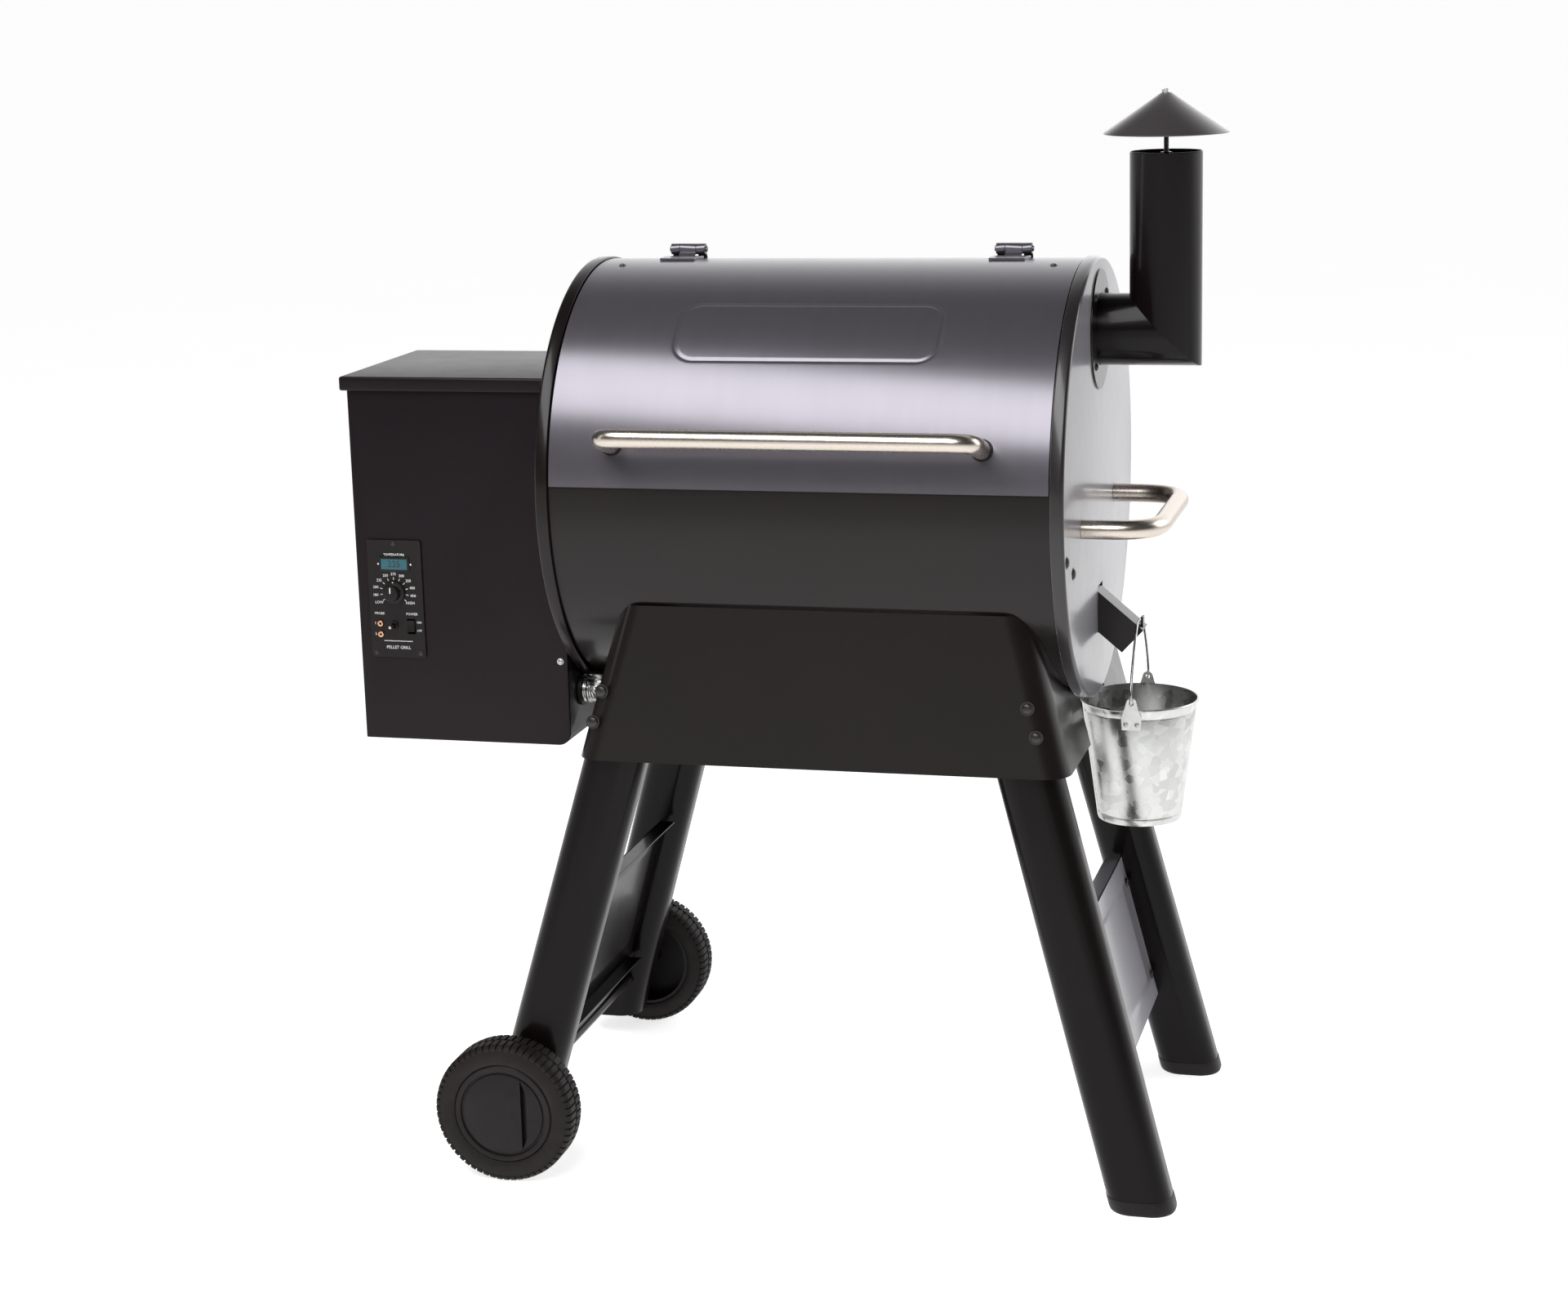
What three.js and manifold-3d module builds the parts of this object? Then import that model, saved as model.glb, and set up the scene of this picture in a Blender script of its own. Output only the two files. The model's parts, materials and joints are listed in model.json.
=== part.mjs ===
// Pellet smoker grill: a horizontal barrel cooker on four splayed legs, with a pellet hopper
// on its left end and a chimney on its right end. Millimetres, +Z up, front towards -Y.
// The origin is on the ground under the middle of the whole object.
import * as THREE from 'three';
import { mergeVertices } from 'three/addons/utils/BufferGeometryUtils.js';
import { ConvexGeometry } from 'three/addons/geometries/ConvexGeometry.js';
import Module from 'manifold-3d';

const wasm = await Module();
wasm.setup();

// ---------------------------------------------------------------- driving dimensions
const GAP = 0.3; // kept between pieces that touch
const SHEET = 1.4; // lid and hinge leaf

const BARREL_OFFSET = [60, 4.5, 0]; // barrel centre seen from the origin
const AXIS_Z = 802.5;
const SHELL_R = 250;
const SHELL_T = 1.2;
const SHELL_HALF = 300;
const CAP_R = 255; // rim of the end caps
const CAP_IN = 300.6; // inner face of an end cap
const CAP_OUT = 302;
const RIM_IN = 286.7; // inner edge of the rim band
const RIM_T = 2.4;

const LID_R = 252.5;
const LID_HALF = 285;
const LID_FRONT = 4.9; // degrees above the front of the axis
const LID_REAR = 97;
const WINDOW_HALF = 268; // cooking opening under the lid
const WINDOW_FRONT = 9;
const WINDOW_REAR = 93;

const HANDLE_R = 11;
const HANDLE_WALL = 3;
const LID_HANDLE = { angle: 15.9, reach: 311, half: 211, bend: 26 };
const SIDE_HANDLE = { y: -11, half: 120, x: 386, z: 766, bend: 52 };

const HINGE = { x: 197, y: 38, z: 1063.5, width: 42, knuckle: 6.5, pin: 3.2, hole: 3.6, ear: 10.4 };

const GRATE = { z: 787, t: 6, y: 236, x0: 2, x1: 280, bars: 11 };
const TRAY = { x0: -280, x1: 262, y: 195, left: 742, drop: 0.0775, lip: 12 };

const AUGER = { y: -20, z: 610, tube: 25, wall: 1.5, screw: 21, shaft: 6, x0: -476, x1: -52 };
const FIREPOT = { r: 45, wall: 2, z0: 566, z1: 655 };

const HOPPER = { x0: -562, x1: -302.3, y0: -162, y1: 73, z0: 498, z1: 932.8, corner: 16, wall: 1 };
const HOPPER_LID = { x0: -569, x1: -302.8, y0: -168.5, y1: 79.5, z0: 918, z1: 935 };
const HOPPER_HINGE = { x0: -501, x1: -364, end: 40, y: 84.5, z: 925, r: 4 };
const BIN = { x: -430, halfX: 25, halfY: 19, z0: 636, zBend: 850, z1: 915, inset: 4, wall: 1 };
const FAN = { x: -478, y: -95, half: 56, r: 50, z0: 500.2, z1: 532 };

const PANEL = { x0: -547, x1: -479, z0: 599, z1: 741, y: -164.2 };
const LCD = { x: -513, z: 712, w: 33, h: 13 };
const DIAL = { x: -515, z: 678, r: 14 };
const JACK = { x: -534, z: [640, 627], r: 3.6 };
const TOGGLE = { x: -517, z: 638, bush: 4.5, hole: 3 };
const ROCKER = { x: -495.5, z: 637, pivotY: -162, tilt: -8 };

const PIPE = { z: 975, x: 378, r: 41, wall: 1.4, top: 1176, flange: 69 };
const CAP = { r: 71, base: 1196.5, cone: 1240.5, top: 1245, rod: 3 };

const CHUTE = { half: 17, topZ: 671, tipX: 355, tipZ: 626, lowX: 330, lowZ: 599, wall: 1.5 };
const BUCKET = { x: 348.5, rimR: 68, rimZ: 543, baseR: 49, baseZ: 398, wall: 1 };
const BAIL = { z: 633.6, earZ: 551, wire: 1.6, hole: 2.6 };

const LEG = { width: 75, depth: 64, corner: 27, wall: 1.5, slopeY: 0.055, footY: 225.2 };
const RIGHT_LEG = { slope: -0.2655, foot: { front: 385.5, rear: 384 }, bottom: 3.3 };
const LEFT_LEG = { slope: 0.29, foot: { front: -378, rear: -397 }, bottom: 30 };
const BRACE = { t: 1.8, flange: 20 };
const RIGHT_BRACE = { slope: -0.2495, foot: 371.5 };
const LEFT_BRACE = { slope: 0.29, foot: -390 };
const LEG_TOP = 700;
const APRON = { bottom: 503, top: 684, y: 240, lean: 0.088, end: 78, skirt: 2.5, t: 1.4 };
const APRON_RIGHT = { slope: -0.2495, foot: 428.5 };

const WHEEL = { x: -359, z: 84.7, r: 84.7, y: 279.2, width: 46, rim: 60, axle: 6 };

// ---------------------------------------------------------------- solids
function signedVolume(position, index) {
  const [a, b, c] = [new THREE.Vector3(), new THREE.Vector3(), new THREE.Vector3()];
  let sum = 0;
  for (let i = 0; i < index.length; i += 3) {
    a.fromArray(position, 3 * index[i]);
    b.fromArray(position, 3 * index[i + 1]);
    c.fromArray(position, 3 * index[i + 2]);
    sum += a.dot(b.cross(c));
  }
  return sum;
}

function solid(geometry) {
  const bare = geometry.clone();
  bare.deleteAttribute('normal');
  bare.deleteAttribute('uv');
  const merged = mergeVertices(bare, 1e-3);
  const vertProperties = new Float32Array(merged.attributes.position.array);
  const triVerts = new Uint32Array(merged.index.array);
  if (signedVolume(vertProperties, triVerts) < 0) triVerts.reverse();
  return new wasm.Manifold(new wasm.Mesh({ numProp: 3, vertProperties, triVerts }));
}

function geometryOf(piece) {
  const { numProp, vertProperties, triVerts } = piece.getMesh();
  const position = new Float32Array((vertProperties.length / numProp) * 3);
  for (let i = 0; i < position.length / 3; i++) {
    for (let k = 0; k < 3; k++) position[3 * i + k] = vertProperties[numProp * i + k];
  }
  const geometry = new THREE.BufferGeometry();
  geometry.setAttribute('position', new THREE.BufferAttribute(position, 3));
  geometry.setIndex(new THREE.BufferAttribute(new Uint32Array(triVerts), 1));
  geometry.computeVertexNormals();
  return geometry;
}

const union = (...pieces) => pieces.reduce((whole, piece) => whole.add(piece));
const cut = (piece, ...tools) => tools.reduce((rest, tool) => rest.subtract(tool), piece);

function block(x0, x1, y0, y1, z0, z1) {
  const box = new THREE.BoxGeometry(x1 - x0, y1 - y0, z1 - z0);
  return solid(box.translate((x0 + x1) / 2, (y0 + y1) / 2, (z0 + z1) / 2));
}

// Turns a shape drawn as (u, v) and grown along w so that w lies along the named axis:
// x takes (y, z) drawings, y takes (x, z) drawings and z takes (x, y) drawings.
function along(axis, geometry) {
  const X = new THREE.Vector3(1, 0, 0);
  const Y = new THREE.Vector3(0, 1, 0);
  const Z = new THREE.Vector3(0, 0, 1);
  const basis = { x: [Y, Z, X], y: [X, Z, Y], z: [X, Y, Z] }[axis];
  return geometry.applyMatrix4(new THREE.Matrix4().makeBasis(...basis));
}

function prismGeometry(axis, points, from, to) {
  const shape = new THREE.Shape(points.map(([u, v]) => new THREE.Vector2(u, v)));
  const geometry = new THREE.ExtrudeGeometry(shape, { depth: to - from, bevelEnabled: false });
  return along(axis, geometry.translate(0, 0, from));
}

const prism = (axis, points, from, to) => solid(prismGeometry(axis, points, from, to));

function rod(axis, radius, from, to, u, v, sides = 24) {
  const cylinder = new THREE.CylinderGeometry(radius, radius, to - from, sides);
  cylinder.rotateX(Math.PI / 2).translate(u, v, (from + to) / 2);
  return solid(along(axis, cylinder));
}

function lathe(axis, profile, u, v, sides) {
  const points = profile.map(([r, t]) => new THREE.Vector2(r, t));
  const turned = new THREE.LatheGeometry(points, sides).rotateX(Math.PI / 2);
  return solid(along(axis, turned.translate(u, v, 0)));
}

const tubeRing = (axis, outer, inner, from, to, u, v, sides) =>
  cut(rod(axis, outer, from, to, u, v, sides), rod(axis, inner, from - 1, to + 1, u, v, sides));

function circlePoints(radius, sides) {
  return Array.from({ length: sides }, (_, i) => {
    const a = (2 * Math.PI * i) / sides;
    return [radius * Math.cos(a), radius * Math.sin(a)];
  });
}

function wireAlong(curve, radius, steps, sides) {
  const section = circlePoints(radius, sides).map(([u, v]) => new THREE.Vector2(u, v));
  const extrusion = { steps, bevelEnabled: false, extrudePath: curve };
  return solid(new THREE.ExtrudeGeometry(new THREE.Shape(section), extrusion));
}

const tubeAlong = (curve, steps, sides) => cut(wireAlong(curve, HANDLE_R, steps, sides),
  wireAlong(curve, HANDLE_R - HANDLE_WALL, steps, sides));

// A path of straight runs joined by round bends.
function bentPath(corners, bend) {
  const p = corners.map((c) => new THREE.Vector3(...c));
  const path = new THREE.CurvePath();
  let start = p[0];
  for (let i = 1; i < p.length - 1; i++) {
    const before = p[i].clone().lerp(p[i - 1], bend / p[i].distanceTo(p[i - 1]));
    const after = p[i].clone().lerp(p[i + 1], bend / p[i].distanceTo(p[i + 1]));
    path.add(new THREE.LineCurve3(start, before));
    path.add(new THREE.QuadraticBezierCurve3(before, p[i], after));
    start = after;
  }
  path.add(new THREE.LineCurve3(start, p[p.length - 1]));
  return path;
}

// (y, z) of a point at an angle in degrees above the front of the barrel's axis.
function polar(radius, angle) {
  const a = THREE.MathUtils.degToRad(angle);
  return [-radius * Math.cos(a), AXIS_Z + radius * Math.sin(a)];
}

function sector(inner, outer, from, to, x0, x1, steps) {
  const angles = Array.from({ length: steps + 1 }, (_, i) => from + ((to - from) * i) / steps);
  const outside = angles.map((a) => polar(outer, a));
  const inside = angles.reverse().map((a) => polar(inner, a));
  return prism('x', [...outside, ...inside], x0, x1);
}

function roundedRect(x0, x1, y0, y1, radius, steps = 4) {
  const centres = [[x1, y1], [x0, y1], [x0, y0], [x1, y0]];
  return centres.flatMap(([x, y], quarter) => {
    const cx = x === x0 ? x0 + radius : x1 - radius;
    const cy = y === y0 ? y0 + radius : y1 - radius;
    return Array.from({ length: steps + 1 }, (_, i) => {
      const a = (Math.PI / 2) * (quarter + i / steps);
      return [cx + radius * Math.cos(a), cy + radius * Math.sin(a)];
    });
  });
}

const hull = (points) => solid(new ConvexGeometry(points.map((p) => new THREE.Vector3(...p))));

// ---------------------------------------------------------------- materials and scene graph
const paint = { color: 0x2b2a2d, roughness: 0.42, metalness: 0.2 };
const MATERIALS = {
  lidPaint: { color: 0x4a4b50, roughness: 0.35, metalness: 0.35 },
  paint,
  hopperPaint: { color: 0x262324, roughness: 0.5, metalness: 0.1 },
  legPaint: { color: 0x1d1b1c, roughness: 0.3, metalness: 0.1 },
  stainless: { color: 0xb9aea2, roughness: 0.25, metalness: 1 },
  zinc: { color: 0xb9bfc1, roughness: 0.4, metalness: 0.9 },
  enamel: { color: 0x1a1a1c, roughness: 0.3, metalness: 0.1 },
  plastic: { color: 0x1b1a1a, roughness: 0.55, metalness: 0 },
  rubber: { color: 0x232122, roughness: 0.8, metalness: 0 },
  steel: { color: 0x8d8d8f, roughness: 0.45, metalness: 0.9 },
  lcd: { color: 0x11606c, roughness: 0.15, metalness: 0 },
  copper: { color: 0xb87a4a, roughness: 0.35, metalness: 1 },
};

const group = new THREE.Group();
group.position.set(...BARREL_OFFSET);

function add(name, finish, piece) {
  const mesh = new THREE.Mesh(geometryOf(piece), new THREE.MeshStandardMaterial(MATERIALS[finish]));
  mesh.name = name;
  group.add(mesh);
}

// ---------------------------------------------------------------- barrel
function grateRail(side) {
  const [near, far] = [230, 249];
  return block(-WINDOW_HALF, WINDOW_HALF, ...(side < 0 ? [-far, -near] : [near, far]), 781, 786.4);
}

function barrelShell() {
  const ring = tubeRing('x', SHELL_R, SHELL_R - SHELL_T, -SHELL_HALF, SHELL_HALF, 0, AXIS_Z, 60);
  const window = sector(200, 300, WINDOW_FRONT, WINDOW_REAR, -WINDOW_HALF, WINDOW_HALF, 12);
  return union(cut(ring, window), grateRail(-1), grateRail(1));
}

function endCap(side) {
  const profile = [[0, CAP_IN], [CAP_R - RIM_T, CAP_IN], [CAP_R - RIM_T, RIM_IN], [CAP_R, RIM_IN],
    [CAP_R, CAP_OUT - 1.5], [CAP_R - 1.5, CAP_OUT], [0, CAP_OUT]];
  return lathe('x', profile.map(([r, t]) => [r, side * t]), 0, AXIS_Z, 60);
}

function leftEndCap() {
  return cut(endCap(-1), rod('x', AUGER.tube + 0.4, -310, -290, AUGER.y, AUGER.z));
}

function rightEndCap() {
  const flueHole = rod('x', PIPE.r + 0.4, 290, 310, 0, PIPE.z, 36);
  const chuteHole = block(290, 310, -CHUTE.half - 0.4, CHUTE.half + 0.4, 621.5, 677);
  return cut(endCap(1), flueHole, chuteHole);
}

add('barrel_shell', 'paint', barrelShell());
add('left_end_cap', 'paint', leftEndCap());
add('right_end_cap', 'paint', rightEndCap());

// ---------------------------------------------------------------- lid, its handle and hinges
function lidHandle() {
  const { angle, reach, half, bend } = LID_HANDLE;
  const [footY, footZ] = polar(LID_R + GAP + 0.4, angle);
  const [barY, barZ] = polar(reach, angle);
  const corners = [[-half, footY, footZ], [-half, barY, barZ], [half, barY, barZ], [half, footY, footZ]];
  return tubeAlong(bentPath(corners, bend), 28, 10);
}

// A stem from the hinge's knuckle down to the plate on the curved sheet.
function hingeStem(angle, radius, halfWidth) {
  const [y, z] = polar(radius, angle);
  const t = 1.3;
  const points = [[HINGE.y - t, HINGE.z], [HINGE.y + t, HINGE.z], [y + t, z], [y - t, z]];
  return prism('x', points, -halfWidth, halfWidth);
}

function hingeStrap() {
  const half = HINGE.width / 2;
  const plate = sector(LID_R + GAP, LID_R + 2.8, 87, 96.3, -half, half, 4);
  const knuckle = rod('x', HINGE.knuckle, -HINGE.ear + 0.5, HINGE.ear - 0.5, HINGE.y, HINGE.z, 14);
  const stem = hingeStem(96, LID_R + 1.5, HINGE.ear - 0.5);
  return cut(union(plate, knuckle, stem), rod('x', HINGE.hole, -30, 30, HINGE.y, HINGE.z, 14));
}

function hingeBracket() {
  const half = HINGE.width / 2;
  const plate = sector(SHELL_R + GAP, SHELL_R + 2.8, 99.5, 110, -half, half, 4);
  const knuckle = rod('x', HINGE.knuckle, -half, half, HINGE.y, HINGE.z, 14);
  const stem = hingeStem(100.5, SHELL_R + 1.5, half);
  const slot = block(-HINGE.ear, HINGE.ear, 0, 46.5, 1052, 1080);
  return cut(union(cut(union(knuckle, stem), slot), plate),
    rod('x', HINGE.hole, -30, 30, HINGE.y, HINGE.z, 14));
}

add('lid_shell', 'lidPaint',
  sector(LID_R - SHEET, LID_R, LID_FRONT, LID_REAR, -LID_HALF, LID_HALF, 24));
add('lid_handle', 'stainless', lidHandle());
for (const [end, side] of [['left', -1], ['right', 1]]) {
  const shift = [side * HINGE.x, 0, 0];
  add(`hinge_strap_${end}`, 'lidPaint', hingeStrap().translate(shift));
  add(`hinge_bracket_${end}`, 'paint', hingeBracket().translate(shift));
  const pin = rod('x', HINGE.pin, -23, 23, HINGE.y, HINGE.z, 14);
  add(`hinge_pin_${end}`, 'steel', pin.translate(shift));
}

// ---------------------------------------------------------------- inside the cooking chamber
function grid(x0, x1, y0, y1, z0, z1, bars, frame, bar) {
  const pitch = (x1 - x0 - 2 * frame + bar) / bars;
  const middle = (y0 + y1) / 2;
  const slots = Array.from({ length: bars }, (_, i) => x0 + frame + i * pitch).flatMap((left) =>
    [[y0 + frame, middle - bar / 2], [middle + bar / 2, y1 - frame]].map(([low, high]) =>
      block(left, left + pitch - bar, low, high, z0 - 1, z1 + 1)));
  return cut(block(x0, x1, y0, y1, z0, z1), ...slots);
}

function cookingGrate(x0, x1) {
  return grid(x0, x1, -GRATE.y, GRATE.y, GRATE.z, GRATE.z + GRATE.t, GRATE.bars, 7, 5);
}

function warmingRack() {
  const [x, y0, y1, z] = [274, 50, 212, 905];
  const rack = grid(-x, x, y0, y1, z, z + 5, 11, 6, 5);
  const feet = [[-x, y0], [x - 5, y0], [-x, y1 - 5], [x - 5, y1 - 5]].map(([fx, fy]) =>
    block(fx, fx + 5, fy, fy + 5, GRATE.z + GRATE.t + 0.4, z + 2));
  return union(rack, ...feet);
}

function dripTray() {
  const { x0, x1, y, lip } = TRAY;
  const pan = cut(block(x0, x1, -y, y, 0, lip), block(x0 + 1.5, x1 + 5, 1.5 - y, y - 1.5, 1.5, lip + 5));
  const lift = TRAY.left + x0 * TRAY.drop;
  const tilt = new THREE.Matrix4().set(1, 0, 0, 0, 0, 1, 0, 0, -TRAY.drop, 0, 1, lift, 0, 0, 0, 1);
  return solid(geometryOf(pan).applyMatrix4(tilt));
}

function greaseGutter() {
  const trough = cut(block(265, 296, -168, 168, 656, 690),
    block(266.5, 294.5, -166.5, 166.5, 657.5, 700));
  return cut(trough, block(290, 300, -CHUTE.half + 3, CHUTE.half - 3, 657.5, 672));
}

function heatBaffle() {
  const feet = [-140, 128].flatMap((x) =>
    [-106, 104].map((y) => block(x, x + 12, y, y + 2, 580, 669)));
  return union(block(-150, 150, -120, 120, 668, 670), ...feet);
}

function firepot() {
  const { r, wall, z0, z1 } = FIREPOT;
  const cup = cut(rod('z', r, z0, z1, 0, AUGER.y, 24),
    rod('z', r - wall, z0 + wall, z1 + 1, 0, AUGER.y, 24));
  const augerHole = rod('x', AUGER.tube + 0.5, -60, -20, AUGER.y, AUGER.z);
  return cut(cup, augerHole, rod('x', 5.2, -60, -20, AUGER.y, 576.5, 12));
}

add('grate_left', 'enamel', cookingGrate(-GRATE.x1, -GRATE.x0));
add('grate_right', 'enamel', cookingGrate(GRATE.x0, GRATE.x1));
add('warming_rack', 'enamel', warmingRack());
add('drip_tray', 'steel', dripTray());
add('grease_gutter', 'steel', greaseGutter());
add('heat_baffle', 'steel', heatBaffle());
add('firepot', 'steel', firepot());
add('igniter_rod', 'steel', rod('x', 4.5, -140, -32, AUGER.y, 576.5, 12));
add('temperature_probe', 'stainless', rod('x', 3, -300.2, -215, -70, 850, 12));

// ---------------------------------------------------------------- pellet feed
function augerTube() {
  const tube = tubeRing('x', AUGER.tube, AUGER.tube - AUGER.wall, -470, -46, AUGER.y, AUGER.z, 24);
  return cut(tube, block(BIN.x - 22, BIN.x + 22, AUGER.y - 15, AUGER.y + 15, AUGER.z, AUGER.z + 40));
}

function augerScrew() {
  const { shaft, screw, x0, x1 } = AUGER;
  const [pitch, perTurn, t] = [53, 6, 2];
  const steps = Math.round(((x1 - x0) / pitch) * perTurn);
  const round = [60, 120, 180, 240, 300].map((d) => THREE.MathUtils.degToRad(d))
    .map((a) => [shaft * Math.cos(a), shaft * Math.sin(a)]);
  const section = [[screw, -t], [screw, t], [shaft, t], ...round, [shaft, -t]];
  const shape = new THREE.Shape(section.map(([u, v]) => new THREE.Vector2(u, v)));
  const geometry = new THREE.ExtrudeGeometry(shape, { depth: x1 - x0, steps, bevelEnabled: false });
  const position = geometry.attributes.position;
  const point = new THREE.Vector3();
  for (let i = 0; i < position.count; i++) {
    point.fromBufferAttribute(position, i);
    point.applyAxisAngle(new THREE.Vector3(0, 0, 1), (point.z / pitch) * 2 * Math.PI);
    position.setXYZ(i, point.x, point.y, point.z);
  }
  return solid(along('x', geometry.translate(0, 0, x0))).translate([0, AUGER.y, AUGER.z]);
}

function augerMotor() {
  const [y, z] = [AUGER.y, AUGER.z];
  const gearbox = block(-520, -484, y - 32, y + 32, z - 26, z + 26);
  const windings = block(-550, -519, y - 24, y + 24, z - 20, z + 20);
  return union(gearbox, windings, rod('x', 9, -485, AUGER.x0 - 0.6, y, z, 16));
}

function fanFrame() {
  const { x, y, half, r, z0, z1 } = FAN;
  const frame = cut(prism('z', roundedRect(x - half, x + half, y - half, y + half, 8, 3), z0, z1),
    rod('z', r, z0 - 1, z1 + 1, x, y, 28));
  const struts = [0, 120, 240].map((turn) => block(0, r + 3, -2.5, 2.5, z0, z0 + 2.5)
    .rotate([0, 0, turn + 15]).translate([x, y, 0]));
  return union(frame, rod('z', 19, z0, z0 + 3, x, y, 16), ...struts);
}

function fanImpeller() {
  const { x, y, r, z0, z1 } = FAN;
  const blades = Array.from({ length: 7 }, (_, i) => block(10, r - 2.5, -1, 1, -13, 13)
    .rotate([38, 0, 0]).rotate([0, 0, (360 / 7) * i]).translate([x, y, (z0 + z1) / 2 + 1.5]));
  return union(rod('z', 18, z0 + 4, z1 - 3, x, y, 16), ...blades);
}

add('auger_tube', 'steel', augerTube());
add('auger_screw', 'steel', augerScrew());
add('auger_motor', 'steel', augerMotor());
add('fan_frame', 'plastic', fanFrame());
add('fan_impeller', 'plastic', fanImpeller());

// ---------------------------------------------------------------- hopper
// The box's (x, z) outline, drawn in by inset, with one round lower corner beside the barrel.
function hopperOutline(inset, top) {
  const { x0, x1, z0, corner } = HOPPER;
  const [cx, cz] = [x1 - corner, z0 + corner];
  const radius = corner - inset;
  const arc = Array.from({ length: 7 }, (_, i) => {
    const a = (-Math.PI / 2) * (1 - i / 6);
    return [cx + radius * Math.cos(a), cz + radius * Math.sin(a)];
  });
  return [[x0 + inset, top], [x0 + inset, z0 + inset], ...arc, [x1 - inset, top]];
}

function hopperHousing() {
  const { x1, y0, y1, z1 } = HOPPER;
  const t = HOPPER.wall;
  const walls = cut(prism('y', hopperOutline(0, z1), y0, y1),
    prism('y', hopperOutline(t, z1 + 5), y0 + t, y1 - t));
  const augerHole = rod('x', AUGER.tube + 0.4, x1 - 5, x1 + 5, AUGER.y, AUGER.z);
  const fanHole = rod('z', FAN.r - 6, 490, 505, FAN.x, FAN.y);
  const panelHole = block(-541.4, -484.6, y0 - 2, y0 + 5, 605.6, 735.4);
  return cut(walls, augerHole, fanHole, panelHole);
}

function binHull(inset, top, bottom) {
  const { x0, x1, y0, y1 } = HOPPER;
  const edge = BIN.inset + inset;
  const [left, right, near, far] = [x0 + edge, x1 - edge, y0 + edge, y1 - edge];
  const mouth = [[left, near], [right, near], [right, far], [left, far]];
  const [hx, hy] = [BIN.halfX - inset, BIN.halfY - inset];
  const throat = [[-hx, -hy], [hx, -hy], [hx, hy], [-hx, hy]].map(([x, y]) => [BIN.x + x, AUGER.y + y]);
  return hull([...mouth.map((p) => [...p, top]), ...mouth.map((p) => [...p, BIN.zBend]),
    ...throat.map((p) => [...p, bottom])]);
}

function pelletBin() {
  const [hx, hy] = [BIN.halfX - BIN.wall, BIN.halfY - BIN.wall];
  const throatHole = block(BIN.x - hx, BIN.x + hx, AUGER.y - hy, AUGER.y + hy, BIN.z0 - 2, BIN.z0 + 8);
  return cut(binHull(0, BIN.z1, BIN.z0), binHull(BIN.wall, BIN.z1 + 1, BIN.z0 + 0.5), throatHole);
}

function hopperLid() {
  const { x0, x1, y0, y1, z0, z1 } = HOPPER_LID;
  const { x0: left, x1: right, y, z, r } = HOPPER_HINGE;
  const t = 1.4;
  const pan = cut(block(x0, x1, y0, y1, z0, z1), block(x0 + t, x1 + 5, y0 + t, y1 - t, z0 - 1, z1 - t));
  const knuckle = tubeRing('x', r, 2.3, left + 1, right - 1, y, z, 16);
  const web = block(left + 1, right - 1, y1 - 0.5, y - 2.6, z - 1.5, z + 1.5);
  return union(pan, knuckle, web);
}

// The fixed half of the lid's hinge: a leaf on the rear wall, two arms and the pin they hold.
function hopperHinge() {
  const { x0, x1, end, y, z, r } = HOPPER_HINGE;
  const wall = HOPPER.y1 + GAP;
  const armOutline = [[wall, z - 27], [y + r, z - 13], [y + r, z], [y - 3.5, z - 1], [y - 3.5, z - 11],
    [wall, z - 19]];
  const spans = [[x0 - end, x0], [x1, x1 + end]];
  const arms = spans.map(([a, b]) => union(prism('x', armOutline, a, b), rod('x', r, a, b, y, z, 16)));
  const leaf = block(x0 - end, x1 + end, wall, wall + SHEET, z - 32, z - 10);
  return union(leaf, ...arms, rod('x', 1.9, x0 - 5, x1 + 5, y, z, 12));
}

function pelletGuard() {
  return grid(-480, -380, -70, 16, 704, 706.5, 5, 6, 5);
}

add('hopper_housing', 'hopperPaint', hopperHousing());
add('pellet_bin', 'zinc', pelletBin());
add('pellet_guard', 'steel', pelletGuard());
add('hopper_lid', 'hopperPaint', hopperLid());
add('hopper_hinge', 'steel', hopperHinge());

// ---------------------------------------------------------------- controller
function controller() {
  const { x0, x1, z0, z1, y } = PANEL;
  const plate = prism('y', roundedRect(x0, x1, z0, z1, 3, 2), y, HOPPER.y0 - GAP);
  const box = block(-541, -485, HOPPER.y0 - 1, -134, 606, 735);
  const bush = rod('y', TOGGLE.bush, y - 3, y + 1, TOGGLE.x, TOGGLE.z, 16);
  const bushHole = rod('y', TOGGLE.hole, y - 4, y + 6, TOGGLE.x, TOGGLE.z, 16);
  const pocket = block(ROCKER.x - 5.2, ROCKER.x + 5.2, y - 1, -152, ROCKER.z - 9.2, ROCKER.z + 9.2);
  return cut(union(plate, box, bush), bushHole, pocket);
}

function dialKnob() {
  const y = PANEL.y - GAP;
  const skirt = rod('y', DIAL.r, y - 3, y, DIAL.x, DIAL.z, 32);
  const grip = rod('y', DIAL.r - 4, y - 13, y - 2, DIAL.x, DIAL.z, 24);
  const pointer = block(DIAL.x - 1.2, DIAL.x + 1.2, y - 13.6, y - 2, DIAL.z, DIAL.z + DIAL.r - 1);
  return union(skirt, grip, pointer);
}

function probeJack(z) {
  return tubeRing('y', JACK.r, 1.5, PANEL.y - 3.3, PANEL.y - GAP, JACK.x, z, 12);
}

function powerRocker() {
  const { x, z, pivotY, tilt } = ROCKER;
  const outline = [[-5.4, -6.6], [-4.2, 0], [-5.4, 6.6], [1, 7.4], [1, -7.4]];
  const rocker = prism('x', outline, -4.6, 4.6).rotate([tilt, 0, 0]);
  return rocker.translate([x, pivotY, z]);
}

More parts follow.
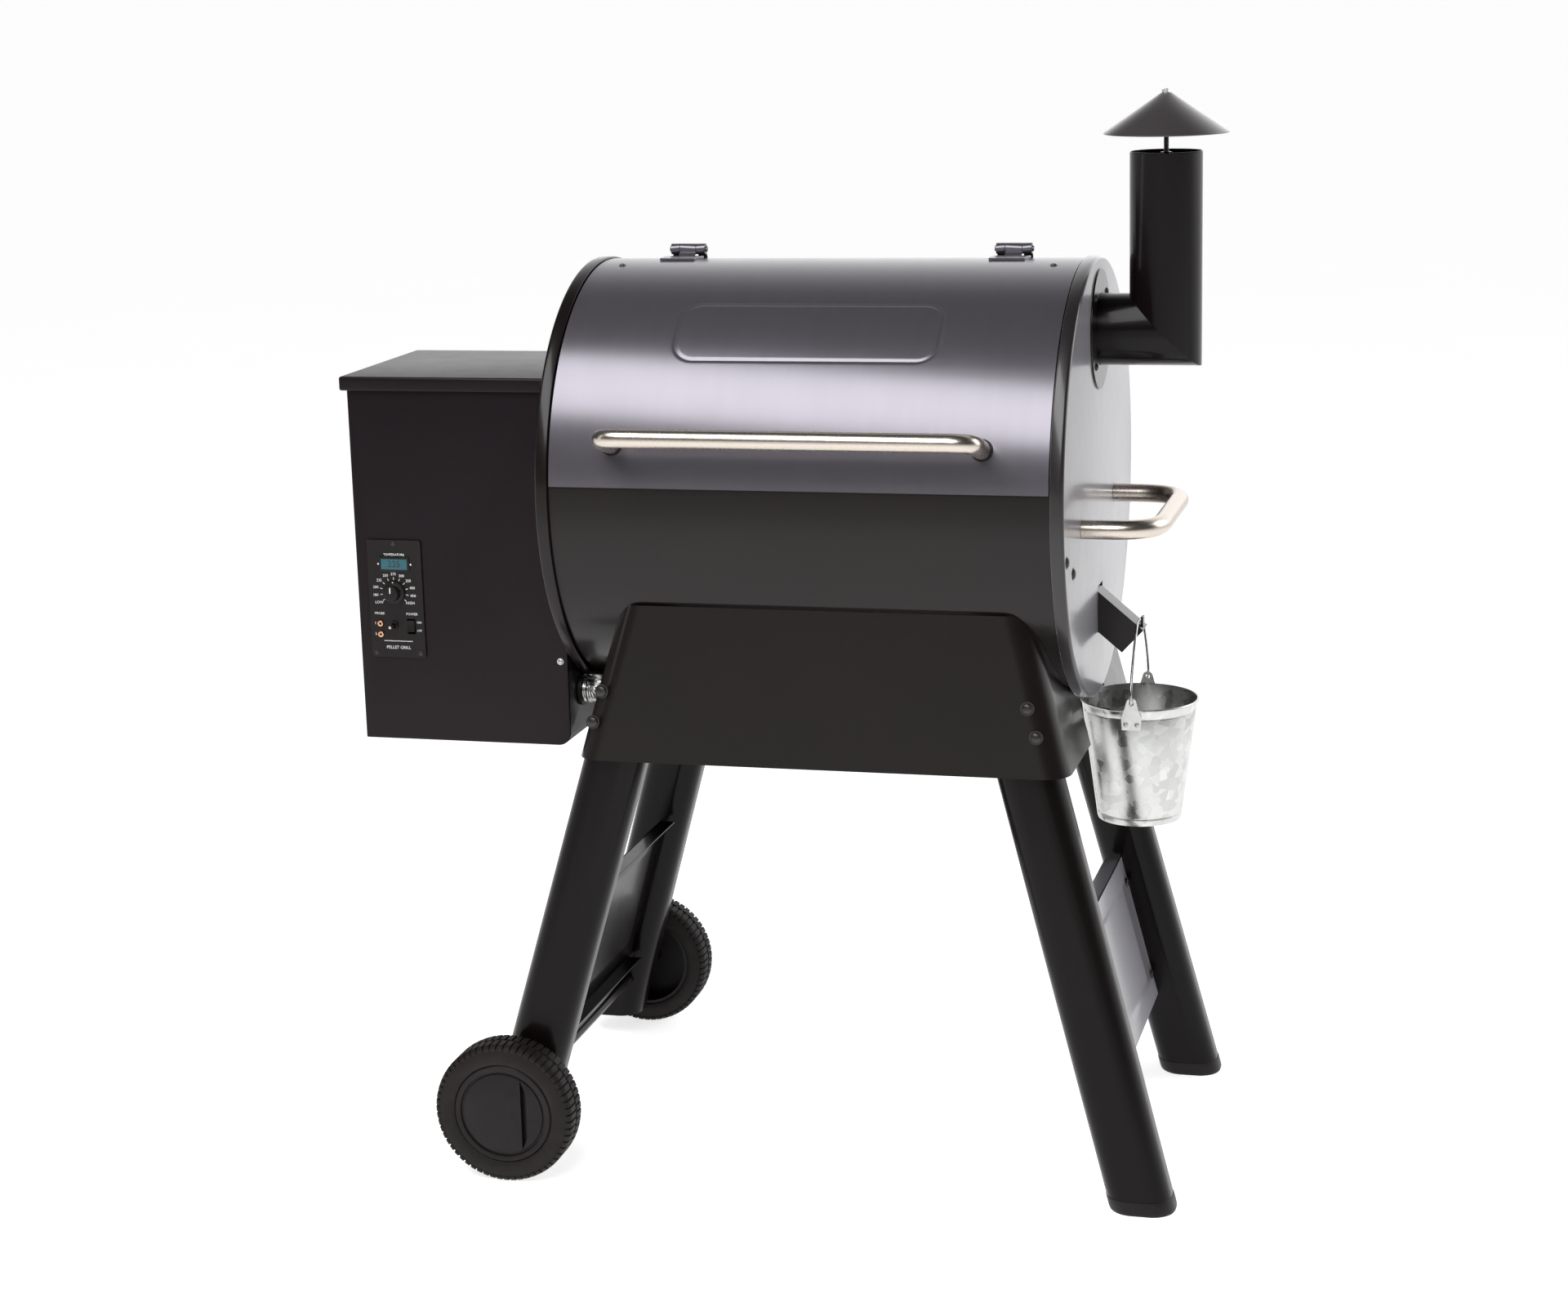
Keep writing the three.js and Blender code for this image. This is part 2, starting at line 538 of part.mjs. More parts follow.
add('controller', 'plastic', controller());
add('lcd_window', 'lcd', block(LCD.x - LCD.w / 2, LCD.x + LCD.w / 2, PANEL.y - 1.7, PANEL.y - GAP,
  LCD.z - LCD.h / 2, LCD.z + LCD.h / 2));
add('dial_knob', 'plastic', dialKnob());
add('probe_jack_upper', 'copper', probeJack(JACK.z[0]));
add('probe_jack_lower', 'copper', probeJack(JACK.z[1]));
add('probe_toggle', 'steel', union(rod('y', 1.6, -178, -164.5, TOGGLE.x, TOGGLE.z, 10),
  rod('y', 2.2, -179.5, -175, TOGGLE.x, TOGGLE.z, 10)));
add('power_rocker', 'plastic', powerRocker());

// ---------------------------------------------------------------- chimney
function halfSpace(sign) {
  const size = 400;
  return block(0, sign * size, -size, size, -size, size).rotate([0, -45, 0]).translate([PIPE.x, 0, PIPE.z]);
}

function elbow(radius, start, top) {
  const reach = PIPE.x + 60;
  const horizontal = rod('x', radius, start, reach, 0, PIPE.z, 28);
  const vertical = rod('z', radius, PIPE.z - 60, top, PIPE.x, 0, 28);
  return union(cut(horizontal, halfSpace(1)), cut(vertical, halfSpace(-1)));
}

function chimneyPipe() {
  const pipe = cut(elbow(PIPE.r, 296, PIPE.top), elbow(PIPE.r - PIPE.wall, 290, PIPE.top + 5));
  const reach = PIPE.r - PIPE.wall / 2;
  const strap = block(PIPE.x - reach, PIPE.x + reach, -6, 6, PIPE.top - 10, PIPE.top - 7.5);
  const hub = rod('z', 7, PIPE.top - 13, PIPE.top - 1, PIPE.x, 0, 6);
  return cut(union(pipe, strap, hub), rod('z', CAP.rod + 0.4, PIPE.top - 20, PIPE.top + 5, PIPE.x, 0, 16));
}

function chimneyCap() {
  const { r, base, cone, top, rod: stem } = CAP;
  const profile = [[0, 1150], [stem, 1150], [stem, cone - 3.2], [r - 1.5, base - 1.2], [r, base - 1.2],
    [r, base], [6, cone], [6, top], [0, top]];
  return lathe('z', profile, PIPE.x, 0, 28);
}

add('chimney_flange', 'paint',
  tubeRing('x', PIPE.flange, PIPE.r + 0.4, CAP_OUT + GAP, CAP_OUT + 2.2, 0, PIPE.z, 28));
add('chimney_pipe', 'paint', chimneyPipe());
add('chimney_cap', 'paint', chimneyCap());

// ---------------------------------------------------------------- right end: handle, chute, bucket
function sideHandle() {
  const { y, half, x, z, bend } = SIDE_HANDLE;
  const start = CAP_OUT + GAP;
  const corners = [[start, y - half, z], [x, y - half, z], [x, y + half, z], [start, y + half, z]];
  return tubeAlong(bentPath(corners, bend), 24, 10);
}

function greaseChute() {
  const { half, topZ, tipX, tipZ, lowX, lowZ, wall } = CHUTE;
  const slope = (tipZ - topZ) / (tipX - CAP_OUT);
  const start = 297;
  const topAt = (x) => topZ + slope * (x - CAP_OUT);
  const lowAt = (x) => lowZ + slope * (x - lowX);
  const end = [tipX - lowX, tipZ - lowZ];
  const outer = [[start, topAt(start)], [tipX, tipZ], [lowX, lowZ], [start, lowAt(start)]];
  const past = 12;
  const inner = [[start - past, topAt(start - past) - 2], [tipX + past, tipZ + slope * past - 2],
    [lowX + past + end[0] * 0.04, lowZ + slope * past + end[1] * 0.04 + 1],
    [start - past, lowAt(start - past) + 2]];
  const tube = cut(prism('y', outer, -half, half), prism('y', inner, wall - half, half - wall));
  const [near, far, top] = [350.6, 353.4, 640];
  const hook = prism('y', [[near, topAt(near) - 1], [far, topAt(far) - 1], [far, top], [near, top]], -6, 6);
  return union(tube, hook);
}

function bucket() {
  const { x, rimR, rimZ, baseR, baseZ, wall } = BUCKET;
  const cup = lathe('z', [[0, baseZ + 3], [baseR - 1.5, baseZ + 3], [baseR - 1.5, baseZ], [baseR, baseZ],
    [rimR - 1, rimZ - 3], [rimR + 1.6, rimZ - 2.4], [rimR + 1.6, rimZ - 0.6], [rimR, rimZ],
    [rimR - 2, rimZ - 1], [baseR - wall + 0.2, baseZ + 4], [0, baseZ + 4]], x, 0, 24);
  const ear = (side) => {
    const outline = [[-11, 519], [11, 519], [12, 536], [5, 557], [-5, 557], [-12, 536]];
    const span = side < 0 ? [-69.6, -65.4] : [65.4, 69.6];
    const plate = prism('y', outline.map(([u, v]) => [x + u, v]), ...span);
    return cut(plate, rod('y', BAIL.hole, -80, 80, x, BAIL.earZ, 12));
  };
  return union(cup, ear(-1), ear(1));
}

function bucketBail() {
  const half = [[62.5, BAIL.earZ], [72, BAIL.earZ], [74.5, 554], [72, 568], [58, 592], [40, 615], [27, 630],
    [20, BAIL.z], [8, BAIL.z]];
  const mirrored = half.map(([y, z]) => [-y, z]).reverse();
  const points = [...half, ...mirrored].map(([y, z]) => new THREE.Vector3(BUCKET.x, y, z));
  return wireAlong(new THREE.CatmullRomCurve3(points, false, 'centripetal'), BAIL.wire, 36, 6);
}

add('side_handle', 'stainless', sideHandle());
add('grease_chute', 'paint', greaseChute());
add('bucket', 'zinc', bucket());
add('bucket_bail', 'zinc', bucketBail());

// ---------------------------------------------------------------- legs, aprons and braces
const FRONT = { front: -1, rear: 1 }; // which way each end faces along Y

const barrelClearance = union(rod('x', SHELL_R + 0.5, -320, 320, 0, AXIS_Z, 72),
  rod('x', CAP_R + 0.6, -320, -RIM_IN + 1, 0, AXIS_Z, 72),
  rod('x', CAP_R + 0.6, RIM_IN - 1, 320, 0, AXIS_Z, 72));

// A leg's outline grown by an amount, leaned with the leg between two heights.
function legSolid(frame, end, grow, z0, z1) {
  const [w, d] = [LEG.width / 2 + grow, LEG.depth / 2 + grow];
  const section = roundedRect(-w, w, -d, d, LEG.corner + grow);
  const front = FRONT[end];
  const lean = new THREE.Matrix4().set(1, 0, frame.slope, frame.foot[end],
    0, 1, -front * LEG.slopeY, front * LEG.footY, 0, 0, 1, 0, 0, 0, 0, 1);
  return solid(prismGeometry('z', section, z0, z1).applyMatrix4(lean));
}

function leg(frame, end) {
  const tube = cut(legSolid(frame, end, 0, frame.bottom, LEG_TOP),
    legSolid(frame, end, -LEG.wall, frame.bottom - 5, LEG_TOP + 5), barrelClearance);
  const axleHole = rod('y', WHEEL.axle + 0.5, -320, 320, WHEEL.x, WHEEL.z, 16);
  return frame === LEFT_LEG ? cut(tube, axleHole) : tube;
}

function foot(end) {
  return cut(legSolid(RIGHT_LEG, end, 2.2, 0, 17), legSolid(RIGHT_LEG, end, GAP, 3, 30));
}

// The apron's plan outline at a height: it wraps round both legs of one side.
function apronSection(end, inset, z, back) {
  const x0 = LEFT_LEG.foot[end] + LEFT_LEG.slope * z - LEG.width / 2 - APRON.skirt + inset;
  const x1 = APRON_RIGHT.foot + APRON_RIGHT.slope * z - inset;
  const face = APRON.y - (z - APRON.bottom) * APRON.lean - inset;
  const y = FRONT[end] < 0 ? [-face, -back] : [back, face];
  return roundedRect(x0, x1, ...y, LEG.corner + 3 - inset).map((p) => [...p, z]);
}

function apron(end) {
  const ring = (inset, z, back) => apronSection(end, inset, z, back);
  const outer = hull([...ring(0, APRON.bottom, 0), ...ring(0, APRON.top, 0)]);
  const inner = hull([...ring(APRON.t, APRON.bottom - 5, -90), ...ring(APRON.t, APRON.top + 5, -90)]);
  const behind = block(-400, 400, ...(FRONT[end] < 0 ? [-APRON.end, 50] : [-50, APRON.end]), 400, 800);
  return cut(outer, inner, behind, barrelClearance);
}

function brace({ slope, foot }, z0, z1, inward) {
  const { t, flange } = BRACE;
  const halfY = (z) => LEG.footY - LEG.slopeY * z - LEG.depth / 2 - 0.5;
  const outline = [[-halfY(z0), z0], [halfY(z0), z0], [halfY(z1), z1], [-halfY(z1), z1]];
  const panel = prismGeometry('x', outline, 0, t);
  const lean = new THREE.Matrix4().set(1, 0, slope, foot, 0, 1, 0, 0, 0, 0, 1, 0, 0, 0, 0, 1);
  const lips = [[z0, z0 + t], [z1 - t, z1]].map(([low, high]) => {
    const x = foot + slope * low;
    const reach = inward > 0 ? [x, x + flange] : [x + t - flange, x + t];
    return block(...reach, 10 - halfY(high), halfY(high) - 10, low, high);
  });
  return union(solid(panel.applyMatrix4(lean)), ...lips);
}

for (const end of ['front', 'rear']) {
  add(`leg_right_${end}`, 'legPaint', leg(RIGHT_LEG, end));
  add(`leg_left_${end}`, 'legPaint', leg(LEFT_LEG, end));
  add(`foot_${end}`, 'plastic', foot(end));
  add(`apron_${end}`, 'paint', apron(end));
}
add('brace_right', 'paint', brace(RIGHT_BRACE, 110, 291, -1));
add('brace_left', 'paint', brace(LEFT_BRACE, 118, 312, 1));

// ---------------------------------------------------------------- wheels
function tyre(y) {
  const { r, rim, width } = WHEEL;
  const w = width / 2;
  return lathe('y', [[rim, -w + 2], [r - 6, -w], [r, -w + 6], [r, w - 6], [r - 6, w], [rim, w - 2],
    [rim, -w + 2]].map(([a, b]) => [a, b + y]), WHEEL.x, WHEEL.z, 40);
}

function hub(side, y) {
  const outside = side * (WHEEL.width / 2 - 1);
  const inside = -side * (WHEEL.width / 2 - 4);
  const [rim, bore] = [WHEEL.rim - 0.4, WHEEL.axle + 0.5];
  const face = outside - side * 8;
  const blind = face + side * 1.5;
  const profile = [[0, outside], [rim - 5, outside], [rim, outside - side * 4], [rim, inside],
    [rim - 4, inside], [rim - 4, face], [bore + 7, face], [bore + 7, inside], [bore, inside],
    [bore, blind], [0, blind]];
  return lathe('y', profile.map(([a, b]) => [a, b + y]), WHEEL.x, WHEEL.z, 28);
}

for (const [end, side] of [['front', -1], ['rear', 1]]) {
  add(`tyre_${end}`, 'rubber', tyre(side * WHEEL.y));
  add(`wheel_hub_${end}`, 'plastic', hub(side, side * WHEEL.y));
}
add('axle', 'legPaint', rod('y', WHEEL.axle, -291, 291, WHEEL.x, WHEEL.z, 16));

export default group;
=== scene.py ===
"""Looks of a pellet smoker grill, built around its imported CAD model."""

import json
import math

import bmesh
import bpy
from mathutils import Matrix, Vector

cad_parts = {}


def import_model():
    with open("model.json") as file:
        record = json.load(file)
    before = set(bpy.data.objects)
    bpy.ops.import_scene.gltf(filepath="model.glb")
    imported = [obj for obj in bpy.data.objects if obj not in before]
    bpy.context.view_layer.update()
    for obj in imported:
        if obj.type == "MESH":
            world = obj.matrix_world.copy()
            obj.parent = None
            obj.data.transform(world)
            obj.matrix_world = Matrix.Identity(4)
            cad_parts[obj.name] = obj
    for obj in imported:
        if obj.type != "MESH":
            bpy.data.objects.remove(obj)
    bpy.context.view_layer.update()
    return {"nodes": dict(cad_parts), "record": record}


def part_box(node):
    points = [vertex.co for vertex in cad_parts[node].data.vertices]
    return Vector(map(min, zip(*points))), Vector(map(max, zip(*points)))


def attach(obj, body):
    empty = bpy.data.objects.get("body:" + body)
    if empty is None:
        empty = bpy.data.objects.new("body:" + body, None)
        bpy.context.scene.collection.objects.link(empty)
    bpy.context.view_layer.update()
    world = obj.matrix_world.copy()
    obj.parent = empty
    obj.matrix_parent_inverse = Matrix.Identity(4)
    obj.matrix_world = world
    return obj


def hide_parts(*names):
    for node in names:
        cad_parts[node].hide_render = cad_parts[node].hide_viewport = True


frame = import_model()
scene = bpy.context.scene

# ---------------------------------------------------------------- driving sizes, millimetres
# Pieces are drawn about the barrel's middle: x and y from its centre, z from the ground.
MM = 0.001
shell_lo, shell_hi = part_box("barrel_shell")
OFFSET = Vector(((shell_lo.x + shell_hi.x) / 2, (shell_lo.y + shell_hi.y) / 2, 0))
PLACE = Matrix.Translation(OFFSET) @ Matrix.Scale(MM, 4)


def extent(node):
    """Lowest and highest corner of a CAD node, in the barrel's millimetres."""
    lo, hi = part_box(node)
    return (lo - OFFSET) / MM, (hi - OFFSET) / MM


SHELL_LO, SHELL_HI = extent("barrel_shell")
SHELL_HALF = SHELL_HI.x
AXIS_Z = (SHELL_LO.z + SHELL_HI.z) / 2
SHELL_R = 250.0
SHELL_T = 1.2
CAP_IN = 300.6
CAP_OUT = extent("right_end_cap")[1].x
CAP_R = extent("right_end_cap")[1].y
RIM_IN = extent("right_end_cap")[0].x
RIM_T = 2.4
WINDOW = {"half": 268, "front": 9, "rear": 93}

LID = {"r": 252.5, "t": 1.4, "half": extent("lid_shell")[1].x, "front": 4.9, "rear": 97}
BADGE = {"half": 152, "low": 39, "high": 58, "radius": 24, "ridge": 3.2, "lift": 0.9}
HANDLE_R = 11
LID_HANDLE = {"angle": 15.9, "reach": 311, "half": 211, "bend": 26}
SIDE_HANDLE = {"y": -11, "half": 120, "x": 386, "z": 766, "bend": 52}

HOPPER_LO, HOPPER_HI = extent("hopper_housing")
HOPPER_CORNER = 16
COVER_LO, COVER_HI = extent("hopper_lid")
AUGER = {"y": -20, "z": 610, "r": 25.4}
FAN = {"x": -478, "y": -95, "r": 44}
RAIL = {"inner": 230, "outer": 248.6, "z": 781, "t": 2, "lip": 5.4}
PANEL_LO, PANEL_HI = Vector((-547, -164.2, 599)), Vector((-479, -162.3, 741))
DIAL = Vector((-515, PANEL_LO.y, 678))
LCD = Vector((-513, PANEL_LO.y, 712))
TOGGLE = {"x": -517, "z": 638, "hole": 4.8}

PIPE = {"z": 975, "x": 378, "r": 41, "wall": 1.4, "top": 1176}
CAP = {"r": 71, "base": 1196.5, "cone": 1240.5, "top": 1245, "rod": 3}
BUCKET = {"x": 348.5, "rim_r": 68, "rim_z": 543, "base_r": 49, "base_z": 398, "wall": 1}
BAIL = {"z": 633.6, "ear_z": 551, "wire": 1.6}

LEG = {"width": 75, "depth": 64, "corner": 27, "wall": 1.5, "slope_y": 0.055, "foot_y": 225.2, "top": 700}
RIGHT_LEG = {"slope": -0.2655, "front": 385.5, "rear": 384, "bottom": 3.3}
LEFT_LEG = {"slope": 0.29, "front": -378, "rear": -397, "bottom": 30}
RIGHT_BRACE = {"slope": -0.2495, "foot": 371.5}
LEFT_BRACE = {"slope": 0.29, "foot": -390}
BRACE = {"t": 1.8, "gap": 0.6, "flange": 20, "pressed": 1.6, "margin": 26, "slope": 5}
FACING = {"front": -1, "rear": 1}
APRON = {"bottom": 503, "top": 684, "y": 240, "lean": 0.088, "end": 78, "skirt": 2.5, "t": 1.4}
APRON_RIGHT = {"slope": -0.2495, "foot": 428.5}
WHEEL = {"x": -359, "z": 84.7, "r": 84.7, "y": 279.2, "half": 23, "rim": 60, "axle": 6.5}


# ---------------------------------------------------------------- mesh tools
def on_axis(axis, u, v, w):
    """A point at w along the named axis and (u, v) across it."""
    return Vector({"x": (w, u, v), "y": (u, w, v), "z": (u, v, w)}[axis])


def polar(radius, angle):
    """(y, z) at an angle in degrees above the front of the barrel's axis."""
    a = math.radians(angle)
    return -radius * math.cos(a), AXIS_Z + radius * math.sin(a)


def loft(bm, rings, wrap=False, caps=True):
    rows = [[bm.verts.new(point) for point in ring] for ring in rings]
    count = len(rows[0])
    pairs = list(zip(rows, rows[1:]))
    if wrap:
        pairs.append((rows[-1], rows[0]))
    for near, far in pairs:
        for i in range(count):
            j = (i + 1) % count
            bm.faces.new((near[i], near[j], far[j], far[i]))
    if caps and not wrap:
        bm.faces.new(rows[0][::-1])
        bm.faces.new(rows[-1])


def lathe(bm, axis, profile, u=0.0, v=0.0, steps=64, closed=False):
    """Turns (radius, along) points round an axis. An open profile starts and ends on the axis."""
    turns = [2 * math.pi * i / steps for i in range(steps)]
    rings = [
        [on_axis(axis, u + r * math.cos(a), v + r * math.sin(a), w) for a in turns] for r, w in profile
    ]
    loft(bm, rings, wrap=closed, caps=False)


def tube(bm, path, radius, sides=24):
    normal = Vector((0.3, 0.5, 0.81))
    rings = []
    for i, point in enumerate(path):
        along = (path[min(i + 1, len(path) - 1)] - path[max(i - 1, 0)]).normalized()
        normal = (normal - normal.dot(along) * along).normalized()
        across = along.cross(normal)
        turns = [2 * math.pi * k / sides for k in range(sides)]
        rings.append([point + radius * (math.cos(a) * normal + math.sin(a) * across) for a in turns])
    loft(bm, rings)


def bent(corners, bend, steps=12):
    """Straight runs between corners, joined by round bends."""
    corners = [Vector(c) for c in corners]
    path = [corners[0]]
    for before, corner, after in zip(corners, corners[1:], corners[2:]):
        start = corner + (before - corner).normalized() * bend
        end = corner + (after - corner).normalized() * bend
        for i in range(steps + 1):
            t = i / steps
            path.append(start * (1 - t) ** 2 + corner * 2 * t * (1 - t) + end * t * t)
    path.append(corners[-1])
    return path


def arc(cx, cy, radius, start, stop, steps):
    turns = [math.radians(start + (stop - start) * i / steps) for i in range(steps + 1)]
    return [(cx + radius * math.cos(a), cy + radius * math.sin(a)) for a in turns]


def rounded_rect(x0, x1, y0, y1, radius, steps=8):
    return (
        arc(x1 - radius, y1 - radius, radius, 0, 90, steps)
        + arc(x0 + radius, y1 - radius, radius, 90, 180, steps)
        + arc(x0 + radius, y0 + radius, radius, 180, 270, steps)
        + arc(x1 - radius, y0 + radius, radius, 270, 360, steps)
    )


def prism(bm, axis, outline, low, high):
    loft(bm, [[on_axis(axis, u, v, w) for u, v in outline] for w in (low, high)])


def block(bm, lo, hi):
    prism(bm, "z", [(lo[0], lo[1]), (hi[0], lo[1]), (hi[0], hi[1]), (lo[0], hi[1])], lo[2], hi[2])


def bolt(bm, point, normal, radius, height, sides=20):
    """A domed head on a washer, standing on a surface."""
    turn = Vector(normal).to_track_quat("Z", "Y").to_matrix().to_4x4()
    local = bmesh.new()
    washer = [(0, 0), (radius * 1.35, 0), (radius * 1.35, 0.7), (0, 0.7)]
    lathe(local, "z", washer, steps=sides)
    head = [(0, 0.6), (radius, 0.6), (radius, height * 0.45)]
    head += [(radius * math.cos(t), height * (0.45 + 0.55 * math.sin(t))) for t in (0.4, 0.8, 1.2)]
    lathe(local, "z", head + [(0, height)], steps=sides)
    local.transform(Matrix.Translation(Vector(point)) @ turn)
    add_mesh(bm, local)


def add_mesh(bm, other):
    carrier = bpy.data.meshes.new("carrier")
    other.to_mesh(carrier)
    other.free()
    bm.from_mesh(carrier)
    bpy.data.meshes.remove(carrier)


def body_of_mesh(name, bm, outward=True):
    """Turns a drawing into an object placed in the shared frame."""
    bmesh.ops.remove_doubles(bm, verts=bm.verts, dist=0.004)
    if outward:
        bmesh.ops.recalc_face_normals(bm, faces=bm.faces)
    bm.transform(PLACE)
    mesh = bpy.data.meshes.new(name)
    bm.to_mesh(mesh)
    bm.free()
    obj = bpy.data.objects.new(name, mesh)
    scene.collection.objects.link(obj)
    return obj


def bake(obj):
    """Makes the modifiers' result the object's own mesh."""
    depsgraph = bpy.context.evaluated_depsgraph_get()
    mesh = bpy.data.meshes.new_from_object(obj.evaluated_get(depsgraph))
    obj.modifiers.clear()
    obj.data = mesh
    return obj


def carve(obj, *drawings):
    for drawing in drawings:
        cutter = body_of_mesh("cutter", drawing)
        change = obj.modifiers.new("Carve", "BOOLEAN")
        change.operation = "DIFFERENCE"
        change.solver = "EXACT"
        change.object = cutter
        bake(obj)
        bpy.data.objects.remove(cutter)
    return obj


def soften(obj, width, segments=3, limit=35):
    change = obj.modifiers.new("Edges", "BEVEL")
    change.width = width * MM
    change.segments = segments
    change.limit_method = "ANGLE"
    change.angle_limit = math.radians(limit)
    shading = obj.modifiers.new("Shading", "WEIGHTED_NORMAL")
    shading.keep_sharp = True


def piece(obj, body, slot, hides=(), bevel=0.0, sharp=35, material=None):
    """Finishes a piece: its material (looked up by slot unless one is given), shading and body, and hides
    the CAD nodes it stands in for.
    """
    obj.data.materials.clear()
    obj.data.materials.append(material or MATERIALS[slot])
    obj.data.shade_smooth()
    if bevel:
        soften(obj, bevel, limit=sharp)
    else:
        obj.data.set_sharp_from_angle(angle=math.radians(sharp))
    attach(obj, body)
    if hides:
        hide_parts(*hides)
    return obj


def drawn(name, draw, body, slot, hides=(), bevel=0.0, sharp=35, material=None):
    """A piece made by one drawing function."""
    bm = bmesh.new()
    draw(bm)
    return piece(body_of_mesh(name, bm), body, slot, hides, bevel, sharp, material)


def drawing(draw):
    bm = bmesh.new()
    draw(bm)
    return bm


# ---------------------------------------------------------------- materials
class Finish:
    """A Principled material with its texture nodes."""

    def __init__(self, name, metallic=0.0, coat=0.0, coat_roughness=0.1, specular=0.5, coat_ior=1.5):
        self.material = bpy.data.materials.new(name)
        self.material.use_nodes = True
        self.tree = self.material.node_tree
        self.shader = self.tree.nodes["Principled BSDF"]
        self.shader.inputs["Metallic"].default_value = metallic
        self.shader.inputs["Coat Weight"].default_value = coat
        self.shader.inputs["Coat Roughness"].default_value = coat_roughness
        self.shader.inputs["Specular IOR Level"].default_value = specular
        self.shader.inputs["Coat IOR"].default_value = coat_ior
        self.place = self.tree.nodes.new("ShaderNodeTexCoord").outputs["Object"]
        self.heights = []

    def link(self, output, target):
        self.tree.links.new(output, target)

    def mapped(self, stretch):
        mapping = self.tree.nodes.new("ShaderNodeMapping")
        mapping.inputs["Scale"].default_value = stretch
        self.link(self.place, mapping.inputs["Vector"])
        return mapping.outputs["Vector"]

    def noise(self, scale, detail=3.0, stretch=(1, 1, 1)):
        node = self.tree.nodes.new("ShaderNodeTexNoise")
        node.inputs["Scale"].default_value = scale
        node.inputs["Detail"].default_value = detail
        self.link(self.mapped(stretch), node.inputs["Vector"])
        return node.outputs["Fac"]

    def cells(self, scale):
        node = self.tree.nodes.new("ShaderNodeTexVoronoi")
        node.inputs["Scale"].default_value = scale
        self.link(self.mapped((1, 1, 1)), node.inputs["Vector"])
        split = self.tree.nodes.new("ShaderNodeSeparateColor")
        self.link(node.outputs["Color"], split.inputs["Color"])
        return split.outputs["Red"]

    def ranged(self, value, low, high, start=0.3, end=0.7):
        node = self.tree.nodes.new("ShaderNodeMapRange")
        self.link(value, node.inputs["Value"])
        for name, number in (("From Min", start), ("From Max", end), ("To Min", low), ("To Max", high)):
            node.inputs[name].default_value = number
        return node.outputs["Result"]

    def mixed(self, factor, low, high):
        node = self.tree.nodes.new("ShaderNodeMix")
        node.data_type = "RGBA"
        node.inputs["A"].default_value = (*low, 1)
        node.inputs["B"].default_value = (*high, 1)
        self.link(factor, node.inputs["Factor"])
        return node.outputs["Result"]

    def colour(self, factor, low, high):
        self.link(self.mixed(factor, low, high), self.shader.inputs["Base Color"])

    def roughness(self, value, low, high):
        self.link(self.ranged(value, low, high), self.shader.inputs["Roughness"])

    def bump(self, value, strength, distance):
        node = self.tree.nodes.new("ShaderNodeBump")
        node.inputs["Strength"].default_value = strength
        node.inputs["Distance"].default_value = distance * MM
        self.link(value, node.inputs["Height"])
        self.link(node.outputs["Normal"], self.shader.inputs["Normal"])


def shade(colour, factor):
    return tuple(min(1.0, c * factor) for c in colour)


def powder_coat(name, colour, rough, coat=1.0, coat_roughness=0.16, specular=0.12, peel=0.1, haze=0.0):
    """Satin paint: nearly black face on, and mirror-bright where it is seen along its surface."""
    finish = Finish(name, 0.0, coat, coat_roughness, specular, 1.28)
    finish.shader.inputs["Sheen Weight"].default_value = haze
    finish.shader.inputs["Sheen Roughness"].default_value = 0.3
    finish.shader.inputs["Sheen Tint"].default_value = (0.94, 0.92, 1, 1)
    broad = finish.ranged(finish.noise(5, 4), 0, 1)
    finish.colour(broad, shade(colour, 0.88), shade(colour, 1.14))
    finish.roughness(finish.noise(38, 5), rough - 0.01, rough + 0.03)
    finish.bump(finish.noise(650, 2), peel, 0.03)
    return finish.material


def lid_metallic():
    """Metallic paint with faint streaks running round the lid."""
    finish = Finish("lid_metallic_paint", 0.6, 0.2, 0.22)
    streak = finish.ranged(finish.noise(30, 3, (3, 0.3, 0.3)), 0, 1, 0.3, 0.7)
    finish.colour(streak, (0.13, 0.122, 0.142), (0.136, 0.128, 0.148))
    finish.roughness(finish.noise(24, 4), 0.24, 0.26)
    finish.bump(finish.noise(520, 2), 0.04, 0.05)
    return finish.material


def brushed(name, colour, rough, stretch, depth=0.2, variety=0.06):
    finish = Finish(name, 1.0)
    grain = finish.noise(260, 3, stretch)
    deep, pale = shade(colour, 1 - 2 * variety), shade(colour, 1 + variety)
    finish.colour(finish.ranged(grain, 0, 1), deep, pale)
    finish.roughness(grain, rough - variety, rough + variety)
    finish.bump(grain, depth, 0.05)
    return finish.material


def galvanised():
    """Zinc with a spangle of crystals."""
    finish = Finish("galvanised_spangle", 1.0)
    crystals = finish.cells(95)
    finish.colour(crystals, (0.46, 0.465, 0.455), (0.64, 0.645, 0.63))
    finish.roughness(crystals, 0.24, 0.34)
    finish.bump(finish.noise(85, 4), 0.16, 0.2)
    return finish.material


def heat_dulled(name, colour, rough):
    """Bare sheet steel stained by heat and grease."""
    finish = Finish(name, 1.0)
    stain = finish.ranged(finish.noise(9, 6), 0, 1, 0.35, 0.65)
    finish.colour(stain, shade(colour, 0.6), shade(colour, 1.15))
    finish.roughness(finish.noise(40, 5), rough, rough + 0.2)
    finish.bump(finish.noise(180, 3), 0.15, 0.1)
    return finish.material


def moulded(name, colour, rough, grain=0.3):
    finish = Finish(name, specular=0.25)
    finish.colour(finish.ranged(finish.noise(14, 4), 0, 1), shade(colour, 0.85), shade(colour, 1.2))
    finish.roughness(finish.noise(60, 4), rough - 0.05, rough + 0.08)
    finish.bump(finish.noise(900, 2), grain, 0.06)
    return finish.material


